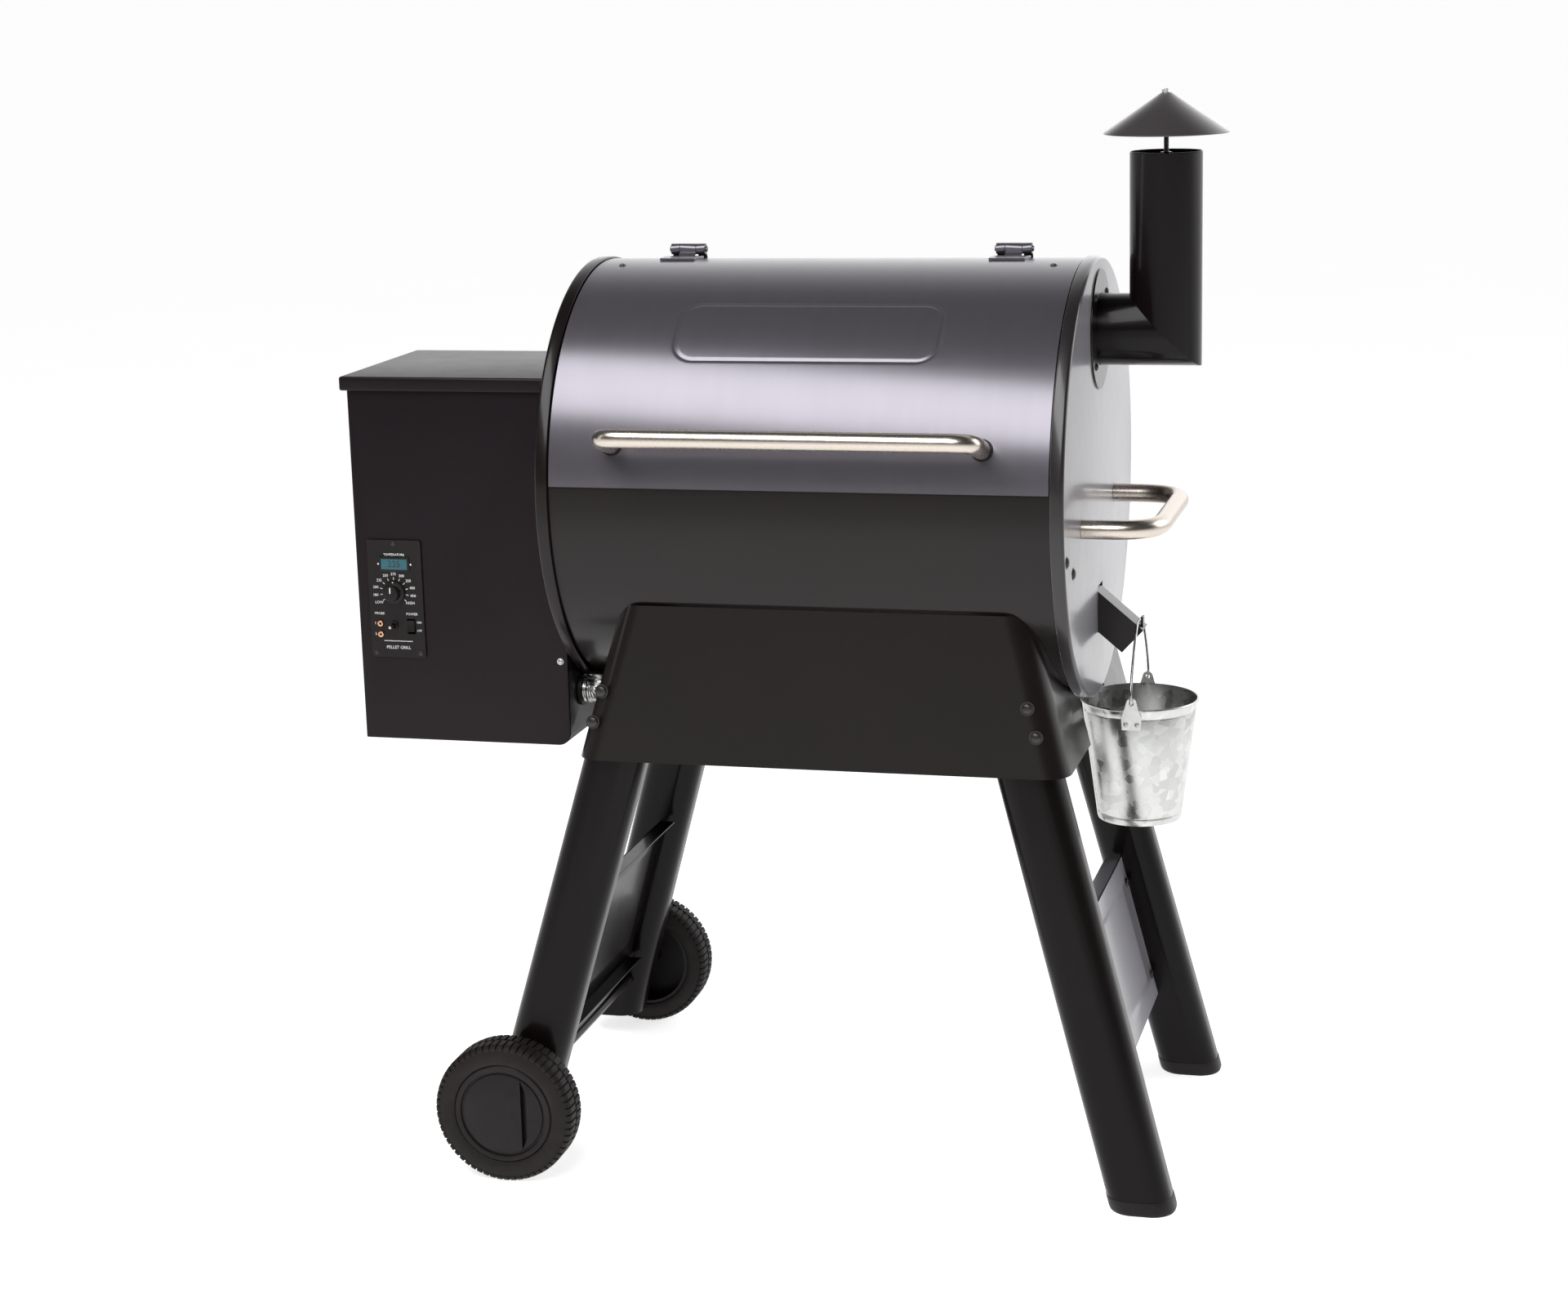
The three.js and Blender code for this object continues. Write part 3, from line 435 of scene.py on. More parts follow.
def display():
    """A teal liquid crystal display behind a clear window."""
    finish = Finish("teal_display", 0.0, 0.3, 0.05)
    lines = finish.ranged(finish.noise(40, 2, (1, 1, 4)), 0, 1)
    tint = finish.mixed(lines, (0.0, 0.055, 0.075), (0.005, 0.085, 0.11))
    finish.link(tint, finish.shader.inputs["Base Color"])
    finish.link(tint, finish.shader.inputs["Emission Color"])
    finish.shader.inputs["Emission Strength"].default_value = 0.2
    finish.roughness(finish.noise(50), 0.1, 0.18)
    return finish.material


MATERIALS = {
    "barrel_paint": powder_coat("barrel_powder_coat", (0.007, 0.0042, 0.0042), 0.36, 0.85),
    "lid_paint": lid_metallic(),
    "hopper_paint": powder_coat("hopper_powder_coat", (0.007, 0.0036, 0.0052), 0.4, 0.3, 0.25),
    "leg_paint": powder_coat("leg_powder_coat", (0.004, 0.0025, 0.0025), 0.3, 0.35, 0.12, 0.08, 0.04),
    "stainless": brushed("brushed_stainless", (0.58, 0.52, 0.46), 0.27, (0.3, 0.3, 1), 0.02, 0.012),
    "galvanised": galvanised(),
    "porcelain": powder_coat("porcelain_enamel", (0.012, 0.012, 0.013), 0.24, 1.0, 0.08, 0.5),
    "inner_steel": heat_dulled("heat_dulled_steel", (0.33, 0.3, 0.27), 0.38),
    "plain_steel": brushed("zinc_plated_steel", (0.5, 0.5, 0.5), 0.34, (1, 1, 1)),
    "black_plastic": moulded("moulded_black_plastic", (0.007, 0.0048, 0.0048), 0.45),
    "tyre_plastic": moulded("moulded_tyre", (0.0105, 0.0075, 0.007), 0.62, 0.5),
    "display": display(),
    "copper": brushed("copper_plating", (0.75, 0.42, 0.24), 0.3, (1, 1, 1)),
}
# Lighter copy of the black paint for the right brace, with full sheen: painted reflection of the bright
# backdrop seen at a grazing angle.
brace_paint_painted_reflection = powder_coat("brace_coat_painted_reflection", (0.06, 0.056, 0.064), 0.3, 1.0, 0.14, 0.5, 0.04, 1.0)
# Lighter copy of the black barrel paint for the right end cap, with sheen: painted reflection of the bright
# backdrop seen at a grazing angle.
cap_paint_painted_reflection = powder_coat("end_cap_coat_painted_reflection", (0.014, 0.011, 0.012), 0.34, 1.0, 0.14, 0.35, 0.06, 0.6)
flue_paint = powder_coat("flue_powder_coat", (0.004, 0.0025, 0.003), 0.3, 0.5, 0.12, 0.08, 0.05)
# Grey copy of the black chimney paint for the cone: painted highlight where light falls on its upper face.
cone_paint_painted_highlight = powder_coat("cone_coat_painted_highlight", (0.045, 0.04, 0.043), 0.3, 1.0, 0.2, 0.4, 0.05, 0.3)
print_white = moulded("white_print", (0.72, 0.72, 0.72), 0.5, 0.05)
dark_screw = brushed("blackened_screw", (0.06, 0.058, 0.056), 0.42, (1, 1, 1))


# ---------------------------------------------------------------- barrel and lid
def clearance():
    """The barrel's own space, cut out of the stand where it meets the barrel."""
    bm = bmesh.new()
    lathe(bm, "x", [(0, -320), (SHELL_R + 0.5, -320), (SHELL_R + 0.5, 320), (0, 320)], 0, AXIS_Z, 144)
    return bm


def rim_clearance(side):
    near, far = side * (RIM_IN - 1), side * 320
    bm = bmesh.new()
    lathe(bm, "x", [(0, near), (CAP_R + 0.6, near), (CAP_R + 0.6, far), (0, far)], 0, AXIS_Z, 144)
    return bm


def curved_sheet(name, radius, angles, columns, thickness, keep=lambda a, x: True, lift=lambda a, x: 0):
    """Sheet bent round the barrel's axis, thickened inwards, with cells left out where keep is false."""
    bm = bmesh.new()
    rows = [[bm.verts.new((x, *polar(radius + lift(a, x), a))) for x in columns] for a in angles]
    for i in range(len(angles) - 1):
        for j in range(len(columns) - 1):
            middle = (angles[i] + angles[i + 1]) / 2, (columns[j] + columns[j + 1]) / 2
            if keep(*middle):
                bm.faces.new((rows[i][j], rows[i][j + 1], rows[i + 1][j + 1], rows[i + 1][j]))
    loose = [v for v in bm.verts if not v.link_faces]
    bmesh.ops.delete(bm, geom=loose, context="VERTS")
    obj = body_of_mesh(name, bm, outward=False)
    change = obj.modifiers.new("Thickness", "SOLIDIFY")
    change.thickness = thickness * MM
    change.offset = -1
    return bake(obj)


def spread(low, high, count):
    return [low + (high - low) * i / count for i in range(count + 1)]


def barrel():
    def outside_window(angle, x):
        return abs(x) > WINDOW["half"] or not WINDOW["front"] < angle < WINDOW["rear"]

    half = WINDOW["half"]
    columns = [-SHELL_HALF] + spread(-half, half, 8) + [SHELL_HALF]
    shell = curved_sheet("barrel_skin", SHELL_R, spread(-93, 267, 180), columns, SHELL_T, outside_window)
    piece(shell, "frame", "barrel_paint", ["barrel_shell"])

    def rails(bm):
        z, t = RAIL["z"], RAIL["t"]
        for side in (-1, 1):
            edge = side * RAIL["inner"]
            near, far = sorted((edge, side * RAIL["outer"]))
            block(bm, (-half, near, z), (half, far, z + t))
            near, far = sorted((edge, edge + side * t))
            block(bm, (-half, near, z), (half, far, z + RAIL["lip"]))

    drawn("grate_rails", rails, "frame", "barrel_paint", bevel=0.5)


def end_cap(side):
    """A flanged disc: a rounded corner between its face and its rim, and a hem on the rim."""
    corner = 4
    face = [(0, CAP_OUT), (CAP_R - corner, CAP_OUT)]
    bend = [(CAP_R - corner + r, CAP_OUT - corner + t) for r, t in arc(0, 0, corner, 90, 0, 6)]
    hem = [(CAP_R - inset, RIM_IN + up) for inset, up in ((0, 1.2), (0.5, 0.3), (1.2, 0), (RIM_T, 0))]
    back = [(CAP_R - RIM_T, CAP_IN), (0, CAP_IN)]
    profile = [(r, side * t) for r, t in face + bend + hem + back]
    name = "left_cap_skin" if side < 0 else "right_cap_skin"
    disc = body_of_mesh(name, drawing(lambda bm: lathe(bm, "x", profile, 0, AXIS_Z, 180)))
    if side < 0:
        auger = [(0, -320), (AUGER["r"], -320), (AUGER["r"], -280), (0, -280)]
        carve(disc, drawing(lambda bm: lathe(bm, "x", auger, AUGER["y"], AUGER["z"], 48)))
        return piece(disc, "frame", "barrel_paint", ["left_end_cap"])
    flue = [(0, 280), (PIPE["r"] + 0.4, 280), (PIPE["r"] + 0.4, 320), (0, 320)]
    carve(disc, drawing(lambda bm: lathe(bm, "x", flue, 0, PIPE["z"], 64)))
    carve(disc, drawing(lambda bm: block(bm, (290, -17.4, 621.5), (315, 17.4, 677))))
    # The right cap takes the lighter copy of the black paint: painted reflection. The left cap keeps the
    # plain barrel paint.
    return piece(disc, "frame", "barrel_paint", ["right_end_cap"], material=cap_paint_painted_reflection)


def badge_lift(angle, x):
    """Height of the blank pressed frame in the lid, at an angle and a place along it."""
    middle = (BADGE["low"] + BADGE["high"]) / 2
    along = math.radians(angle - middle) * LID["r"]
    tall = math.radians(BADGE["high"] - BADGE["low"]) / 2 * LID["r"]
    dx = abs(x) - (BADGE["half"] - BADGE["radius"])
    dy = abs(along) - (tall - BADGE["radius"])
    outside = math.hypot(max(dx, 0), max(dy, 0)) + min(max(dx, dy), 0) - BADGE["radius"]
    near = abs(outside) / BADGE["ridge"]
    return BADGE["lift"] * 0.5 * (1 + math.cos(math.pi * near)) if near < 1 else 0


def lid():
    half = LID["half"]
    fine = BADGE["half"] + 8
    columns = [-half] + spread(-fine, fine, 200) + [half]
    fine_angles = spread(BADGE["low"] - 2, BADGE["high"] + 2, 66)
    angles = spread(LID["front"], BADGE["low"] - 2, 24)[:-1] + fine_angles
    angles += spread(BADGE["high"] + 2, LID["rear"], 28)[1:]
    radius = LID["r"] - 0.01
    shell = curved_sheet("lid_skin", radius, angles, columns, LID["t"], lift=lambda a, x: -badge_lift(a, x))
    piece(shell, "lid", "lid_paint", ["lid_shell"], sharp=40)

    foot = polar(LID["r"] + 0.7, LID_HANDLE["angle"])
    bar = polar(LID_HANDLE["reach"], LID_HANDLE["angle"])
    reach = LID_HANDLE["half"]
    corners = [(-reach, *foot), (-reach, *bar), (reach, *bar), (reach, *foot)]
    drawn(
        "lid_handle_bar",
        lambda bm: tube(bm, bent(corners, LID_HANDLE["bend"]), HANDLE_R - 0.4, 40),
        "lid", "stainless", ["lid_handle"], sharp=50,
    )

    def collars(bm):
        out = (Vector(corners[1]) - Vector(corners[0])).normalized()
        for x in (-reach, reach):
            start = Vector((x, *polar(LID["r"], LID_HANDLE["angle"])))
            tube(bm, [start, start + out * 1.2], HANDLE_R + 1.5, 40)

    drawn("lid_handle_collars", collars, "lid", "black_plastic", bevel=0.8)

    def screws(bm):
        for x in (-256, 256):
            point = (x, *polar(LID["r"], 81))
            normal = Vector((0, point[1], point[2] - AXIS_Z))
            bolt(bm, point, normal, 3.2, 2.2)

    drawn("lid_screws", screws, "lid", "lid_paint")


barrel()
end_cap(-1)
end_cap(1)
lid()


# ---------------------------------------------------------------- chimney
def chimney():
    steps = 72

    def ring(radius, place):
        turns = [2 * math.pi * i / steps for i in range(steps)]
        return [Vector(place(radius * math.cos(a), radius * math.sin(a))) for a in turns]

    def pipe(bm):
        x, z, top = PIPE["x"], PIPE["z"], PIPE["top"]
        start = CAP_OUT - 6
        out, bore = PIPE["r"], PIPE["r"] - PIPE["wall"]
        rings = []
        for radius, end in ((out, top - 0.7), (bore, top)):
            runs = [
                ring(radius, lambda w, y: (start, y, z + w)),
                ring(radius, lambda w, y: (x - w - 0.5, y, z + w)),
                ring(radius, lambda w, y: (x - w, y, z + w + 0.5)),
                ring(radius, lambda w, y, end=end: (x - w, y, end)),
            ]
            rings += runs if radius == out else [ring(out - 0.7, lambda w, y: (x - w, y, top))] + runs[::-1]
        loft(bm, rings, wrap=True)

    hides = ["chimney_pipe"]
    drawn("chimney_pipe_skin", pipe, "frame", "barrel_paint", hides, sharp=30, material=flue_paint)

    def bridge(bm):
        reach = PIPE["r"] - PIPE["wall"] - 0.2
        z = PIPE["top"]
        block(bm, (PIPE["x"] - reach, -6, z - 10), (PIPE["x"] + reach, 6, z - 7.5))
        for side in (-1, 1):
            near, far = sorted((PIPE["x"] + side * reach, PIPE["x"] + side * (reach - 1.8)))
            block(bm, (near, -6, z - 22), (far, 6, z - 7.6))
        nut = [(CAP["rod"] + 0.5, z - 13), (7, z - 13), (7, z - 1), (CAP["rod"] + 0.5, z - 1)]
        lathe(bm, "z", nut, PIPE["x"], 0, 6, closed=True)

    drawn("chimney_bridge", bridge, "frame", "barrel_paint", bevel=0.4)

    def flange_screws(bm):
        for turn in (45, 135, 225, 315):
            y, z = 55 * math.cos(math.radians(turn)), PIPE["z"] + 55 * math.sin(math.radians(turn))
            bolt(bm, (CAP_OUT + 2.2, y, z), (1, 0, 0), 3.4, 2.6)

    drawn("chimney_flange_screws", flange_screws, "frame", "plain_steel", material=dark_screw)

    def cone(bm):
        r, base, top = CAP["r"], CAP["base"], CAP["cone"]
        under = [(0, top - 1.4), (5, top - 2.2), (r - 2.4, base - 0.2)]
        hem = [(r - 1.2, base - 1.1), (r - 0.3, base - 0.8), (r, base), (r - 0.6, base + 0.9)]
        peak = [(6.5, top - 0.2), (4, top + 0.5), (0, top + 0.5)]
        lathe(bm, "z", under + hem + peak, PIPE["x"], 0, 96)

    hides = ["chimney_cap"]
    # The cone takes the grey copy of the black paint: painted highlight.
    drawn("chimney_cone", cone, "chimney_cap", "barrel_paint", hides, sharp=30, material=cone_paint_painted_highlight)

    def rod(bm):
        pitch, low, high = 1.5, 1150.4, CAP["top"] - 1.4
        turns = int((high - low) / pitch)
        profile = [(0, low)]
        for i in range(turns):
            profile += [(CAP["rod"] - 0.45, low + i * pitch), (CAP["rod"], low + (i + 0.5) * pitch)]
        profile += [(CAP["rod"] - 0.4, CAP["top"] - 0.6), (CAP["rod"] - 1.4, CAP["top"]), (0, CAP["top"])]
        lathe(bm, "z", profile, PIPE["x"], 0, 20)
        nuts = ((CAP["cone"] - 7, CAP["cone"] - 2.2, 5.2), (CAP["cone"] + 0.4, CAP["top"] - 1.0, 5.2))
        for low_z, high_z, r in nuts:
            lathe(bm, "z", [(2, low_z), (r, low_z), (r, high_z), (2, high_z)], PIPE["x"], 0, 6, closed=True)

    drawn("chimney_rod", rod, "chimney_cap", "plain_steel", sharp=40)


chimney()


# ---------------------------------------------------------------- right end: handle and bucket
def side_handle():
    y, z, x, half = SIDE_HANDLE["y"], SIDE_HANDLE["z"], SIDE_HANDLE["x"], SIDE_HANDLE["half"]
    start = CAP_OUT + 0.3
    corners = [(start, y - half, z), (x, y - half, z), (x, y + half, z), (start, y + half, z)]
    drawn(
        "side_handle_bar",
        lambda bm: tube(bm, bent(corners, SIDE_HANDLE["bend"]), HANDLE_R, 40),
        "frame", "stainless", ["side_handle"], sharp=50,
    )

    def bolts(bm):
        bolt(bm, (CAP_OUT, -235, 748), (1, 0, 0), 5, 3)
        bolt(bm, (CAP_OUT, -192, 727), (1, 0, 0), 5, 3)

    drawn("right_cap_bolts", bolts, "frame", "plain_steel", material=dark_screw)


def bucket():
    x, rim_r, rim_z = BUCKET["x"], BUCKET["rim_r"], BUCKET["rim_z"]
    base_r, base_z, wall = BUCKET["base_r"], BUCKET["base_z"], BUCKET["wall"]

    def side(z, inset=0.0):
        return base_r + (rim_r - base_r) * (z - base_z) / (rim_z - base_z) - inset

    def pail(bm):
        foot_r = base_r - 1.5
        profile = [(0, base_z + 3), (foot_r, base_z + 3), (foot_r, base_z), (base_r - 0.3, base_z)]
        profile += [(side(z), z) for z in (base_z + 1.5, base_z + 4)]
        groove = ((-2, 0), (-1, 0.5), (0, 0.7), (1, 0.5), (2, 0))
        for middle in (base_z + 9, rim_z - 12):
            profile += [(side(middle + rise) - dip, middle + rise) for rise, dip in groove]
        profile += [(rim_r - 0.6, rim_z - 3.2), (rim_r + 0.6, rim_z - 3.1)]
        roll = (-0.8, 0, 0.8, 1.57, 2.4)
        profile += [(rim_r + 0.2 + 1.4 * math.cos(t), rim_z - 1.6 + 1.55 * math.sin(t)) for t in roll]
        profile += [(side(z, wall), z) for z in (rim_z - 3, base_z + 4)] + [(0, base_z + 4)]
        lathe(bm, "z", profile, x, 0, 96)

    drawn("bucket_skin", pail, "bucket", "galvanised", ["bucket"], sharp=50)

    def ear(bm, sign):
        near, far = sorted((sign * 67.9, sign * 69.5))
        outline = [(-11, 519), (11, 519), (12, 534), (8, 545)]
        outline += arc(0, BAIL["ear_z"], 6.2, 10, 170, 10) + [(-8, 545), (-12, 534)]
        prism(bm, "y", [(x + u, v) for u, v in outline], near, far)

    for name, sign in (("front", -1), ("rear", 1)):
        obj = body_of_mesh(f"bucket_ear_{name}", drawing(lambda bm: ear(bm, sign)))
        hole = [(0, -90), (2.6, -90), (2.6, 90), (0, 90)]
        carve(obj, drawing(lambda bm: lathe(bm, "y", hole, x, BAIL["ear_z"], 20)))
        piece(obj, "bucket", "galvanised", bevel=0.3)

    def rivets(bm):
        for sign in (-1, 1):
            for dx in (-6.5, 6.5):
                bolt(bm, (x + dx, sign * 69.3, 526), (0, sign, 0), 2.4, 1.6, 14)

    drawn("bucket_rivets", rivets, "bucket", "plain_steel")

    def seam(bm):
        turn = math.radians(200)
        rows = []
        for z in (base_z + 3, rim_z - 4):
            r = side(z)
            rows.append([
                Vector((x + (r + lift) * math.cos(turn + da), (r + lift) * math.sin(turn + da), z))
                for da, lift in ((-0.07, -0.3), (-0.06, 0.5), (0.05, 0.5), (0.06, -0.3))
            ])
        loft(bm, rows)

    drawn("bucket_seam", seam, "bucket", "galvanised")


def bail():
    """A wire over the chute's tip, with an eye bent at each ear."""
    ear, top = BAIL["ear_z"], BAIL["z"]
    eye = [(62.5, ear), (72, ear), (74.5, ear + 3)]
    half = eye + [(72, ear + 17), (58, ear + 41), (40, ear + 64), (27, top - 3.6), (20, top), (8, top)]
    points = [Vector((BUCKET["x"], y, z)) for y, z in half + [(-y, z) for y, z in half[::-1]]]
    path = []
    for i in range(len(points) - 1):
        a, b = points[i], points[i + 1]
        before = points[i - 1] if i else a + (a - b)
        after = points[i + 2] if i + 2 < len(points) else b + (b - a)
        for k in range(6):
            t = k / 6
            path.append(0.5 * (2 * a + (b - before) * t + (2 * before - 5 * a + 4 * b - after) * t * t
                               + (3 * a - before - 3 * b + after) * t ** 3))
    path.append(points[-1])
    drawn(
        "bail_wire",
        lambda bm: tube(bm, path, BAIL["wire"], 14),
        "bail", "galvanised", ["bucket_bail"], sharp=60,
    )


side_handle()
bucket()
bail()


# ---------------------------------------------------------------- stand
def leg_ring(leg, end, grow, z):
    w, d = LEG["width"] / 2 + grow, LEG["depth"] / 2 + grow
    cx, cy = leg[end] + leg["slope"] * z, FACING[end] * (LEG["foot_y"] - LEG["slope_y"] * z)
    return [Vector((cx + u, cy + v, z)) for u, v in rounded_rect(-w, w, -d, d, LEG["corner"] + grow, 12)]


def leg_tube(leg, end, name, node):
    def walls(bm):
        low, high = leg["bottom"], LEG["top"]
        outer = [leg_ring(leg, end, 0, z) for z in (low, high)]
        inner = [leg_ring(leg, end, -LEG["wall"], z) for z in (high, low)]
        loft(bm, outer + inner, wrap=True)

    obj = body_of_mesh(name, drawing(walls))
    carve(obj, clearance(), rim_clearance(-1), rim_clearance(1))
    if leg is LEFT_LEG:
        hole = [(0, -330), (WHEEL["axle"], -330), (WHEEL["axle"], 330), (0, 330)]
        carve(obj, drawing(lambda bm: lathe(bm, "y", hole, WHEEL["x"], WHEEL["z"], 32)))
    return piece(obj, "frame", "leg_paint", [node], sharp=30)


def foot_cap(end, name, node):
    def cup(bm):
        rings = [(0.2, 3), (0.2, 17), (0.5, 16.8), (0.6, 16), (0.6, 4), (0.1, 1.4), (-1.2, 0)]
        loft(bm, [leg_ring(RIGHT_LEG, end, grow, z) for grow, z in rings])

    return drawn(name, cup, "frame", "black_plastic", [node], sharp=40)


def apron_plan(end, z, inset):
    """The apron's outline at a height: across the front and back round both legs."""
    x0 = LEFT_LEG[end] + LEFT_LEG["slope"] * z - LEG["width"] / 2 - APRON["skirt"] + inset
    x1 = APRON_RIGHT["foot"] + APRON_RIGHT["slope"] * z - inset
    face = APRON["y"] - (z - APRON["bottom"]) * APRON["lean"] - inset
    r = LEG["corner"] + 3 - inset
    path = [(x0, APRON["end"])] + arc(x0 + r, face - r, r, 180, 90, 12)
    path += arc(x1 - r, face - r, r, 90, 0, 12) + [(x1, APRON["end"])]
    return [Vector((x, FACING[end] * y, z)) for x, y in path]


def apron(end, name, node):
    def walls(bm):
        levels = (APRON["bottom"], APRON["top"])
        loft(bm, [apron_plan(end, z, 0) + apron_plan(end, z, APRON["t"])[::-1] for z in levels])

    obj = body_of_mesh(name, drawing(walls))
    carve(obj, clearance(), rim_clearance(-1), rim_clearance(1))
    return piece(obj, "frame", "barrel_paint", [node], sharp=30)


def apron_bolts(bm):
    for facing in FACING.values():
        for x, z in ((257, 582), (267, 550), (-238, 584), (-249, 548)):
            y = facing * (APRON["y"] - (z - APRON["bottom"]) * APRON["lean"])
            bolt(bm, (x, y, z), (0, facing, APRON["lean"]), 6, 4)


def brace(plane, z0, z1, inward, side, paint):
    """A folded panel between two legs, with a plain pressed field."""
    t = BRACE["t"]

    def half_y(z):
        return LEG["foot_y"] - LEG["slope_y"] * z - LEG["depth"] / 2 - BRACE["gap"]

    def x_at(z):
        return plane["foot"] + plane["slope"] * z

    def pressed(y, z):
        edge = min(half_y(z) - BRACE["margin"] - abs(y), z - z0 - 24, z1 - 24 - z)
        return inward * BRACE["pressed"] * min(max(edge / BRACE["slope"], 0), 1)

    def panel(bm):
        across = [-1] + spread(-0.86, 0.86, 70) + [1]
        heights = [z0] + spread(z0 + 22, z1 - 22, 44) + [z1]
        skins = []
        for lift in (0, t):
            skins.append([])
            for z in heights:
                ys = [u * half_y(z) for u in across]
                skins[-1].append([bm.verts.new((x_at(z) + lift + pressed(y, z), y, z)) for y in ys])
        for rows in skins:
            for low, high in zip(rows, rows[1:]):
                for i in range(len(low) - 1):
                    bm.faces.new((low[i], low[i + 1], high[i + 1], high[i]))
        edges = [[rows[0] for rows in skins], [rows[-1] for rows in skins]]
        edges += [[[row[k] for row in rows] for rows in skins] for k in (0, -1)]
        for near, far in edges:
            for i in range(len(near) - 1):
                bm.faces.new((near[i], near[i + 1], far[i + 1], far[i]))

    drawn(f"{side}_brace_skin", panel, "frame", "barrel_paint", [f"brace_{side}"], material=paint)

    def lips(bm):
        for low in (z0, z1 - t):
            x = x_at(low)
            flange = BRACE["flange"]
            reach = (x + 0.2, x + flange) if inward > 0 else (x + t - flange, x + t - 0.2)
            y = half_y(low + t) - 10
            block(bm, (reach[0], -y, low), (reach[1], y, low + t))

    drawn(f"{side}_brace_lips", lips, "frame", "barrel_paint", bevel=0.5, material=paint)

    def bolts(bm):
        for z in (z0 + 30, z1 - 30):
            outer = x_at(z) if inward > 0 else x_at(z) + t
            for end in FACING.values():
                bolt(bm, (outer, end * (half_y(z) - 13), z), (-inward, 0, 0), 5, 3.4)

    drawn(f"{side}_brace_bolts", bolts, "frame", "plain_steel", material=dark_screw)


for end in FACING:
    leg_tube(RIGHT_LEG, end, f"right_{end}_leg_skin", f"leg_right_{end}")
    leg_tube(LEFT_LEG, end, f"left_{end}_leg_skin", f"leg_left_{end}")
    foot_cap(end, f"{end}_foot_skin", f"foot_{end}")
    apron(end, f"{end}_apron_skin", f"apron_{end}")
drawn("apron_bolts", apron_bolts, "frame", "plain_steel", material=dark_screw)
# The right brace takes the lighter copy of the paint (painted reflection); the left one keeps the plain
# black.
brace(RIGHT_BRACE, 110, 291, -1, "right", brace_paint_painted_reflection)
brace(LEFT_BRACE, 118, 312, 1, "left", MATERIALS["leg_paint"])


# ---------------------------------------------------------------- wheels
def wheel(end, side):
    cx, cz, cy = WHEEL["x"], WHEEL["z"], side * WHEEL["y"]
    r, w, rim = WHEEL["r"], WHEEL["half"], WHEEL["rim"]
    base = r - 2

    def carcass(bm):
        bead = [(rim, w - 2.2), (rim + 1.5, w - 1), (rim + 6, w - 0.2)]
        half_profile = bead + [(base - 7, w - 0.6), (base - 2, w - 3.4), (base, w - 8)]
        profile = half_profile + [(a, -b) for a, b in half_profile[::-1]]
        lathe(bm, "y", [(a, cy + b) for a, b in profile], cx, cz, 120, closed=True)

    drawn(f"tyre_carcass_{end}", carcass, f"wheel_{end}", "tyre_plastic", [f"tyre_{end}"])

    def treads(bm):
        count = 60
        half_lug = 0.04
        section = [(base - 6, w - 1.6), (base - 2, w - 0.9), (r - 0.8, w - 4.5), (r, w - 8), (r, 1.6)]
        section.append((base - 1, 1.6))
        for k in range(count * 2):
            flank = 1 if k % 2 else -1
            turn = math.pi * k / count
            rings = []
            for da in (-half_lug, half_lug):
                a = turn + da
                rings.append([
                    Vector((cx + q * math.cos(a), cy + flank * y, cz + q * math.sin(a))) for q, y in section
                ])
            loft(bm, rings)

    drawn(f"tyre_treads_{end}", treads, f"wheel_{end}", "tyre_plastic", bevel=0.7)

    def hub(bm):
        out, inside = side * (w - 1), -side * (w - 4)
        back = out - side * 8
        bore = WHEEL["axle"]
        disc = [(0, 0.6), (46, 0.6), (49, 1.2), (49.8, 2.6), (51.6, 2.6), (52.4, 0.4), (53.4, 0)]
        disc += [(rim - 1.6, 0), (rim - 0.4, 1.4)]
        profile = [(radius, out - side * sunk) for radius, sunk in disc]
        profile += [(rim - 0.4, inside), (rim - 4, inside), (rim - 4, back), (bore + 7, back)]
        profile += [(bore + 7, inside), (bore, inside), (bore, back + side * 1.5), (0, back + side * 1.5)]
        lathe(bm, "y", [(a, cy + b) for a, b in profile], cx, cz, 120)

    def lens(bm):
        """A grip sunk beside the middle: deepest at its straight edge, running out at its curved one."""
        tall, wide, deep, shift = 42, 11, 6.5, 23
        radius = (tall * tall + wide * wide) / (2 * wide)
        sweep = math.degrees(math.asin(tall / radius))
        edge = cx + shift
        outline = arc(edge - radius + wide, cz, radius, -sweep, sweep, 24)
        face = cy + side * w

        def floor_at(u):
            return face - side * deep * (1 - (u - edge) / wide)

        sunk = [Vector((u, floor_at(u), v)) for u, v in outline]
        clear = [Vector((u, face + side * 8, v)) for u, v in outline]
        loft(bm, [sunk, clear])

    obj = carve(body_of_mesh(f"hub_skin_{end}", drawing(hub)), drawing(lens))
    piece(obj, f"wheel_{end}", "black_plastic", [f"wheel_hub_{end}"], sharp=30)


wheel("front", -1)
wheel("rear", 1)


# ---------------------------------------------------------------- hopper
def hopper_outline(inset, top):
    x0, x1, z0 = HOPPER_LO.x, HOPPER_HI.x, HOPPER_LO.z
    cx, cz = x1 - HOPPER_CORNER, z0 + HOPPER_CORNER
    corner = arc(cx, cz, HOPPER_CORNER - inset, -90, 0, 10)
    return [(x0 + inset, top), (x0 + inset, z0 + inset)] + corner + [(x1 - inset, top)]


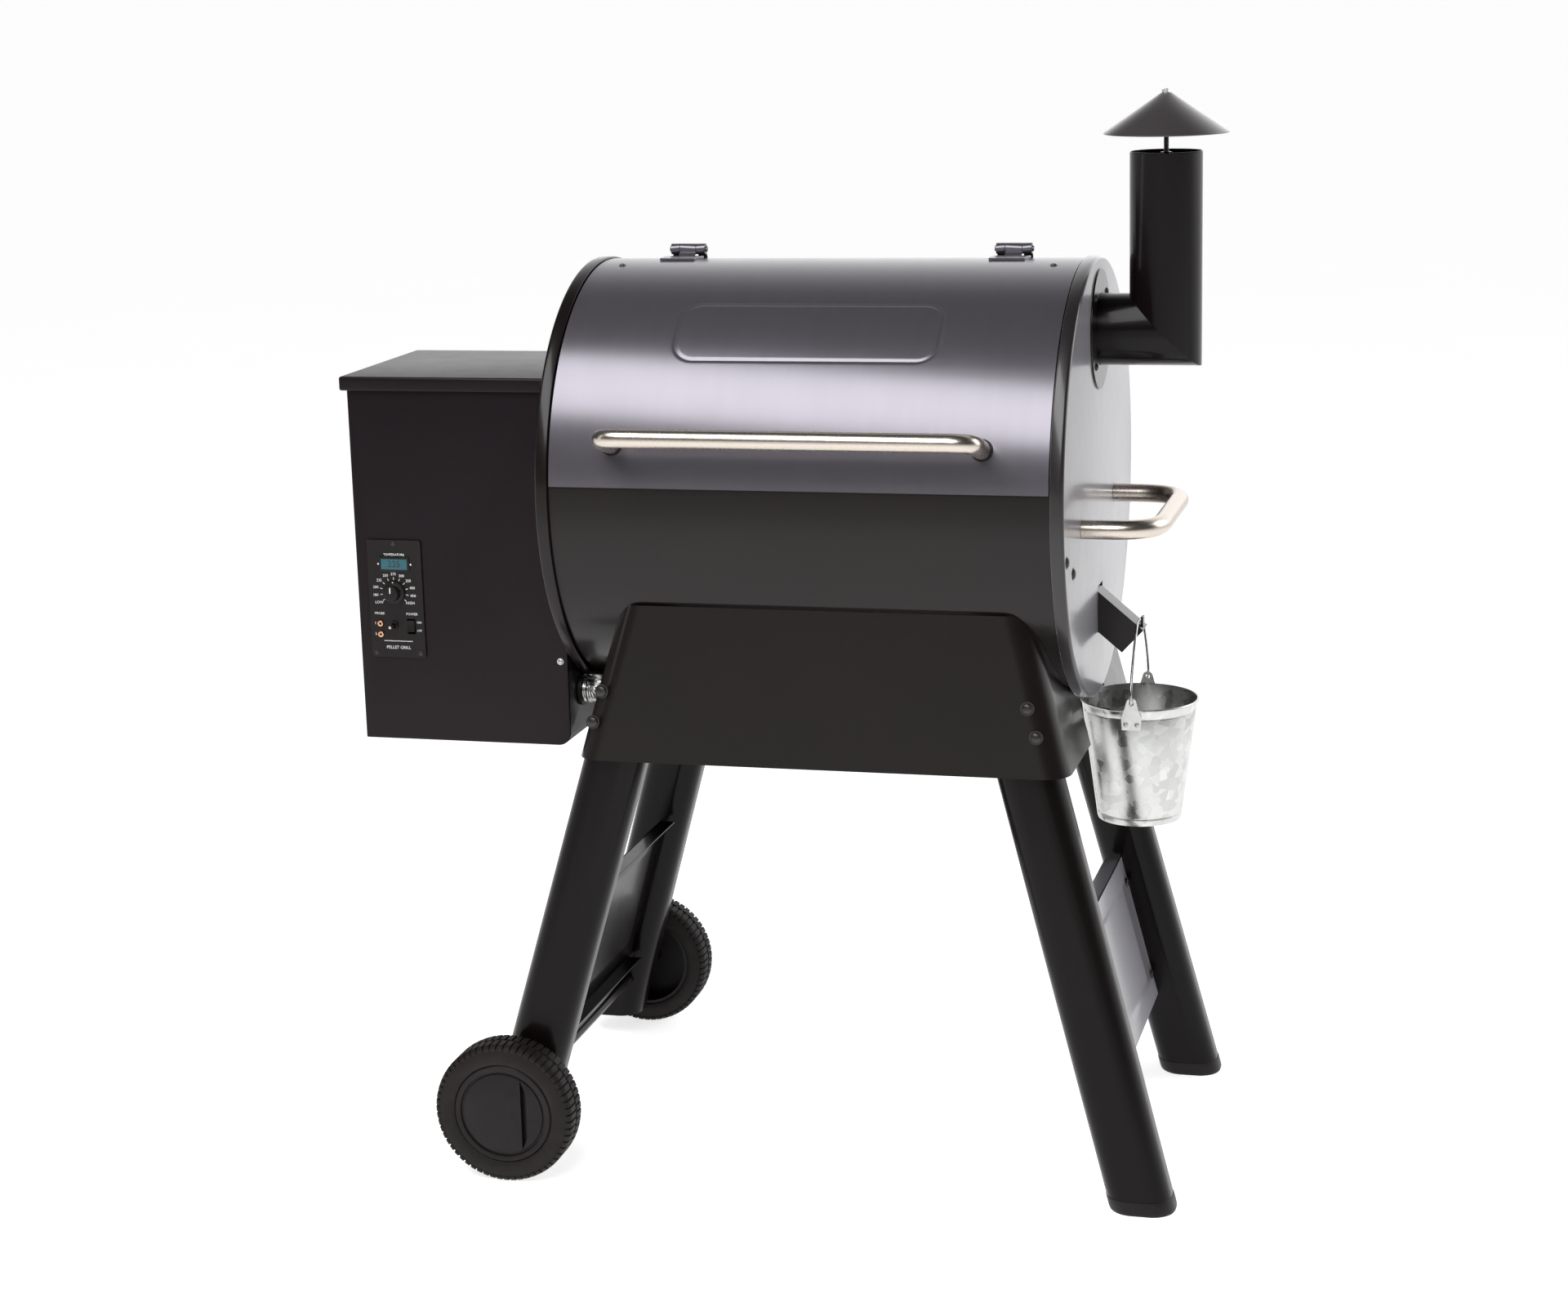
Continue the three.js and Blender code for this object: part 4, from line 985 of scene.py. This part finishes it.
def hopper():
    y0, y1, top = HOPPER_LO.y, HOPPER_HI.y, HOPPER_HI.z
    obj = body_of_mesh("hopper_skin", drawing(lambda bm: prism(bm, "y", hopper_outline(0, top), y0, y1)))
    soften(obj, 1.6, 4, 50)
    bake(obj)
    carve(obj, drawing(lambda bm: prism(bm, "y", hopper_outline(1.0, top + 6), y0 + 1.0, y1 - 1.0)))
    auger = [(0, -310), (AUGER["r"], -310), (AUGER["r"], -295), (0, -295)]
    carve(obj, drawing(lambda bm: lathe(bm, "x", auger, AUGER["y"], AUGER["z"], 48)))
    fan = [(0, 490), (FAN["r"], 490), (FAN["r"], 505), (0, 505)]
    carve(obj, drawing(lambda bm: lathe(bm, "z", fan, FAN["x"], FAN["y"], 48)))
    carve(obj, drawing(lambda bm: block(bm, (-541.4, y0 - 4, 605.6), (-484.6, y0 + 5, 735.4))))
    piece(obj, "frame", "hopper_paint", ["hopper_housing"], sharp=30)

    def screws(bm):
        bolt(bm, (HOPPER_HI.x - 9, y0, 600), (0, -1, 0), 3, 2)
        for z in (560, 640):
            bolt(bm, (HOPPER_LO.x + 20, y1, z), (0, 1, 0), 3, 2)
            bolt(bm, (HOPPER_HI.x - 20, y1, z), (0, 1, 0), 3, 2)

    drawn("hopper_screws", screws, "frame", "plain_steel")


def hopper_cover():
    lo, hi = COVER_LO, Vector((COVER_HI.x, 79.5, COVER_HI.z))
    t = 1.4

    obj = body_of_mesh("hopper_cover_skin", drawing(lambda bm: block(bm, lo, hi)))
    soften(obj, 3.0, 4, 50)
    bake(obj)
    hollow = (lo.x + t, lo.y + t, lo.z - 2), (hi.x - t, hi.y - t, hi.z - t)
    carve(obj, drawing(lambda bm: block(bm, *hollow)))
    piece(obj, "hopper_lid", "hopper_paint", ["hopper_lid"], sharp=30)

    def knuckle(bm):
        left, right, y, z = -500, -365, 84.5, 925
        ring = [(2.3, left), (4, left), (4, right), (2.3, right)]
        lathe(bm, "x", ring, y, z, 32, closed=True)
        block(bm, (left, hi.y - 0.6, z - 1.5), (right, y - 2.6, z + 1.5))

    drawn("hopper_cover_knuckle", knuckle, "hopper_lid", "hopper_paint", bevel=0.3)


def cable_sleeve():
    """A ribbed conduit that leaves the hopper's side under the barrel and turns up into it."""
    y, z, r = -115, 556, 15
    path = bent([(HOPPER_HI.x + 0.5, y, z), (-279, y, z), (-279, y, 578)], 12, 16)
    dense = []
    for a, b in zip(path, path[1:]):
        count = max(1, int((b - a).length / 1.2))
        dense += [a.lerp(b, i / count) for i in range(count)]
    dense.append(path[-1])

    def ribbed(bm):
        sides, rings_per_rib, rib = 32, 4, 0.06
        tube(bm, dense, r, sides)
        bm.verts.ensure_lookup_table()
        for i, centre in enumerate(dense):
            scale = 1 + rib * math.cos(i * 2 * math.pi / rings_per_rib)
            for vert in bm.verts[i * sides:(i + 1) * sides]:
                vert.co = centre + (vert.co - centre) * scale

    drawn("cable_sleeve", ribbed, "frame", "galvanised", sharp=70)

    def collar(bm):
        x = HOPPER_HI.x + 0.3
        lathe(bm, "x", [(r - 2, x), (r + 4, x), (r + 4, x + 4), (r - 2, x + 4)], y, z, 32, closed=True)

    drawn("cable_collar", collar, "frame", "black_plastic", bevel=0.6)


hopper()
hopper_cover()
cable_sleeve()


# ---------------------------------------------------------------- controller
def text_mesh(bm, words, size, x, z, y):
    """Flat raised print on the panel, centred at (x, z), facing the front."""
    curve = bpy.data.curves.new("words", "FONT")
    curve.body = words
    curve.size = size
    curve.extrude = 0.08
    curve.resolution_u = 2
    curve.align_x = "CENTER"
    curve.align_y = "CENTER"
    holder = bpy.data.objects.new("words", curve)
    scene.collection.objects.link(holder)
    bpy.context.view_layer.update()
    mesh = bpy.data.meshes.new_from_object(holder.evaluated_get(bpy.context.evaluated_depsgraph_get()))
    mesh.transform(Matrix.Translation((x, y, z)) @ Matrix.Rotation(math.pi / 2, 4, "X"))
    bm.from_mesh(mesh)
    bpy.data.objects.remove(holder)
    bpy.data.meshes.remove(mesh)


def controller():
    face = PANEL_LO.y

    def plate(bm):
        outline = rounded_rect(PANEL_LO.x, PANEL_HI.x, PANEL_LO.z, PANEL_HI.z, 3, 6)
        prism(bm, "y", outline, face - 0.35, face + 0.05)

    obj = body_of_mesh("panel_overlay", drawing(plate))
    toggle_hole = [(0, -180), (TOGGLE["hole"], -180), (TOGGLE["hole"], -150), (0, -150)]
    carve(obj, drawing(lambda bm: lathe(bm, "y", toggle_hole, TOGGLE["x"], TOGGLE["z"], 32)))
    carve(obj, drawing(lambda bm: block(bm, (-500.7, -180, 627.8), (-490.3, -150, 646.2))))
    piece(obj, "frame", "black_plastic", sharp=30)

    front = face - 0.42

    def marks(bm):
        numbers = ["LOW", "180", "200", "225", "250", "275", "300", "350", "400", "450", "HIGH"]
        for i, word in enumerate(numbers):
            a = math.radians(-125 + 25 * i)
            u, v = math.sin(a), math.cos(a)
            text_mesh(bm, word, 4.6, DIAL.x + 24 * u, DIAL.z + 22 * v, front)
            tick = Vector((DIAL.x + 16.6 * u, front, DIAL.z + 16.6 * v))
            half = Vector((u, 0, v)) * 1.6
            side = Vector((v, 0, -u)) * 0.35
            ring = [tick - half - side, tick + half - side, tick + half + side, tick - half + side]
            loft(bm, [[p + Vector((0, d, 0)) for p in ring] for d in (-0.06, 0.1)])
        text_mesh(bm, "PROBE", 4.2, -535, 652, front)
        text_mesh(bm, "POWER", 4.2, -494, 652, front)
        text_mesh(bm, "1", 4.6, -541, 640, front)
        text_mesh(bm, "2", 4.6, -541, 627, front)
        text_mesh(bm, "ON", 3.8, -485.5, 642, front)
        text_mesh(bm, "OFF", 3.6, -485.5, 632, front)
        text_mesh(bm, "PELLET GRILL", 5.2, -513, 611, front)
        text_mesh(bm, "TEMPERATURE", 4.0, -513, 723.4, front)
        for x in (-533.5, -492.5):
            prism(bm, "y", arc(x, LCD.z, 1.1, 0, 350, 12), front - 0.05, front + 0.1)
        block(bm, (-531, front - 0.05, 618.5), (-495, front + 0.1, 619.2))

    print_marks = body_of_mesh("panel_marks", drawing(marks), outward=False)
    piece(print_marks, "frame", "black_plastic", sharp=30, material=print_white)

    def bezel(bm):
        outer = rounded_rect(LCD.x - 19, LCD.x + 19, LCD.z - 9, LCD.z + 9, 2, 4)
        inner = rounded_rect(LCD.x - 16.6, LCD.x + 16.6, LCD.z - 6.6, LCD.z + 6.6, 0.8, 4)
        steps = ((outer, 0.3), (outer, 1.5), (inner, 2.2), (inner, 0.3))
        loft(bm, [[on_axis("y", u, v, face - proud) for u, v in edge] for edge, proud in steps], wrap=True)

    drawn("display_bezel", bezel, "frame", "black_plastic", sharp=30)

    def digits(bm):
        text_mesh(bm, "225", 11, LCD.x, LCD.z, face - 1.72)

    drawn("display_digits", digits, "frame", "display", sharp=30, material=dark_screw)

    def screws(bm):
        for x, z in ((-513, 736.5), (-541, 604.5), (-485, 604.5)):
            bolt(bm, (x, face - 0.35, z), (0, -1, 0), 2.2, 1.6, 16)

    drawn("panel_screws", screws, "frame", "plain_steel", material=dark_screw)


def dial():
    y = PANEL_LO.y - 0.75

    def knob(bm):
        steps, flutes = 144, 18
        skirt = ((0, 13.4, 0), (0.4, 13.9, 0), (3, 13.6, 0), (3.6, 10.8, 0))
        grip = ((4.2, 10, 0.5), (11.6, 9.6, 0.5), (12.6, 8.6, 0.2), (12.9, 6, 0))
        rings = []
        for depth, radius, flute in skirt + grip:
            ring = []
            for i in range(steps):
                a = 2 * math.pi * i / steps
                r = radius - flute * (0.5 + 0.5 * math.cos(flutes * a))
                ring.append(on_axis("y", DIAL.x + r * math.cos(a), DIAL.z + r * math.sin(a), y - depth))
            rings.append(ring)
        loft(bm, rings)

    drawn("dial_skin", knob, "dial", "black_plastic", ["dial_knob"], sharp=40)

    def pointer(bm):
        block(bm, (DIAL.x - 0.7, y - 13.3, DIAL.z + 1), (DIAL.x + 0.7, y - 12.7, DIAL.z + 8))
        block(bm, (DIAL.x - 0.7, y - 3.4, DIAL.z + 10.6), (DIAL.x + 0.7, y - 2.8, DIAL.z + 13.2))

    drawn("dial_pointer", pointer, "dial", "black_plastic", bevel=0.15, material=print_white)


def toggle():
    def lever(bm):
        stem = [(0, -164.4), (1.7, -164.4), (1.5, -172)]
        tip = [(2.1, -177), (2.3, -178.6), (1.6, -179.5), (0, -179.5)]
        lathe(bm, "y", stem + tip, TOGGLE["x"], TOGGLE["z"], 24)

    drawn("toggle_lever", lever, "probe_toggle", "stainless", ["probe_toggle"], sharp=50)


controller()
dial()
toggle()


# ---------------------------------------------------------------- CAD nodes that stay on show
HINGE_NODES = [f"hinge_{kind}_{side}" for kind in ("strap", "bracket", "pin") for side in ("left", "right")]
EDGE = {"grate_left": 1.2, "grate_right": 1.2, "warming_rack": 1.0, "controller": 0.5, "lcd_window": 0.3}
for part in frame["record"]["subparts"]:
    node = frame["nodes"][part["node"]]
    node.data.materials.clear()
    slot = "lid_paint" if part["node"] in HINGE_NODES else part["material_slot"]
    node.data.materials.append(MATERIALS[slot])
    node.data.shade_smooth()
    weld = node.modifiers.new("Weld", "WELD")
    weld.merge_threshold = 0.00001
    soften(node, EDGE.get(part["node"], 0.4), 2, 40)


# ---------------------------------------------------------------- floor, light and camera
def floor():
    bm = bmesh.new()
    reach = 400
    edge = [(reach * math.cos(a), reach * math.sin(a)) for a in spread(0, 6.2, 63)]
    loft(bm, [[(x, y, z) for x, y in edge] for z in (-1, 0)])
    mesh = bpy.data.meshes.new("floor")
    bmesh.ops.recalc_face_normals(bm, faces=bm.faces)
    bm.to_mesh(mesh)
    bm.free()
    obj = bpy.data.objects.new("floor", mesh)
    scene.collection.objects.link(obj)
    finish = Finish("pale_floor", specular=0.0)
    finish.colour(finish.ranged(finish.noise(1.5, 3), 0, 1), (0.9, 0.9, 0.9), (0.93, 0.93, 0.93))
    finish.shader.inputs["Roughness"].default_value = 1.0
    finish.shader.inputs["Emission Color"].default_value = (1, 1, 1, 1)
    finish.shader.inputs["Emission Strength"].default_value = 0.75
    mesh.materials.append(finish.material)


def world():
    """Studio light: dark in front and overhead, bright behind and at both ends."""
    studio = bpy.data.worlds.new("studio")
    studio.use_nodes = True
    tree = studio.node_tree
    back = tree.nodes["Background"]
    place = tree.nodes.new("ShaderNodeTexCoord").outputs["Generated"]
    towards = tree.nodes.new("ShaderNodeVectorMath")
    towards.operation = "DOT_PRODUCT"
    towards.inputs[1].default_value = Vector((0.3, 0.95, -0.2)).normalized()
    tree.links.new(place, towards.inputs[0])
    ramp = tree.nodes.new("ShaderNodeMapRange")
    ramp.interpolation_type = "SMOOTHSTEP"
    for name, number in (("From Min", 0.1), ("From Max", 0.9), ("To Min", 0.05), ("To Max", 1.5)):
        ramp.inputs[name].default_value = number
    tree.links.new(towards.outputs["Value"], ramp.inputs["Value"])
    tree.links.new(ramp.outputs["Result"], back.inputs["Strength"])
    back.inputs["Color"].default_value = (1, 1, 1, 1)
    scene.world = studio


def softbox(name, place, aim, width, height, power, roll=0.0):
    light = bpy.data.lights.new(name, "AREA")
    light.shape = "RECTANGLE"
    light.size = width
    light.size_y = height
    light.energy = power
    obj = bpy.data.objects.new(name, light)
    obj.location = place
    turn = (Vector(aim) - Vector(place)).to_track_quat("-Z", "Y").to_matrix()
    obj.rotation_euler = (turn @ Matrix.Rotation(math.radians(roll), 3, "Z")).to_euler()
    obj.visible_camera = False
    scene.collection.objects.link(obj)


def camera():
    """The view: where it stands, how it is turned, and its lens on a 36 mm sensor."""
    data = bpy.data.cameras.new("camera")
    data.sensor_width = 36
    data.lens = 68.4
    yaw, pitch, roll = 0.262812, 0.225965, -0.026575
    ahead = Vector((-math.sin(yaw) * math.cos(pitch), math.cos(yaw) * math.cos(pitch), -math.sin(pitch)))
    right = Vector((math.cos(yaw), math.sin(yaw), 0))
    up = right.cross(ahead)
    c, s = math.cos(roll), math.sin(roll)
    columns = Matrix((c * right + s * up, -s * right + c * up, -ahead)).transposed()
    obj = bpy.data.objects.new("camera", data)
    obj.matrix_world = Matrix.Translation((0.88906, -3.38446, 1.38705)) @ columns.to_4x4()
    scene.collection.objects.link(obj)
    scene.camera = obj


scene.view_settings.view_transform = "Standard"
floor()
world()
softbox("front_softbox", (-0.45, -1.84, 2.64), (-0.05, -0.2, 0.95), 2.8, 1.2, 74, -27)
softbox("right_softbox", (2.6, 1.2, 1.9), (0.3, 0, 0.8), 1.8, 1.8, 25)
softbox("left_softbox", (-2.6, -1.0, 1.6), (-0.2, 0, 0.6), 0.5, 1.8, 4)
camera()
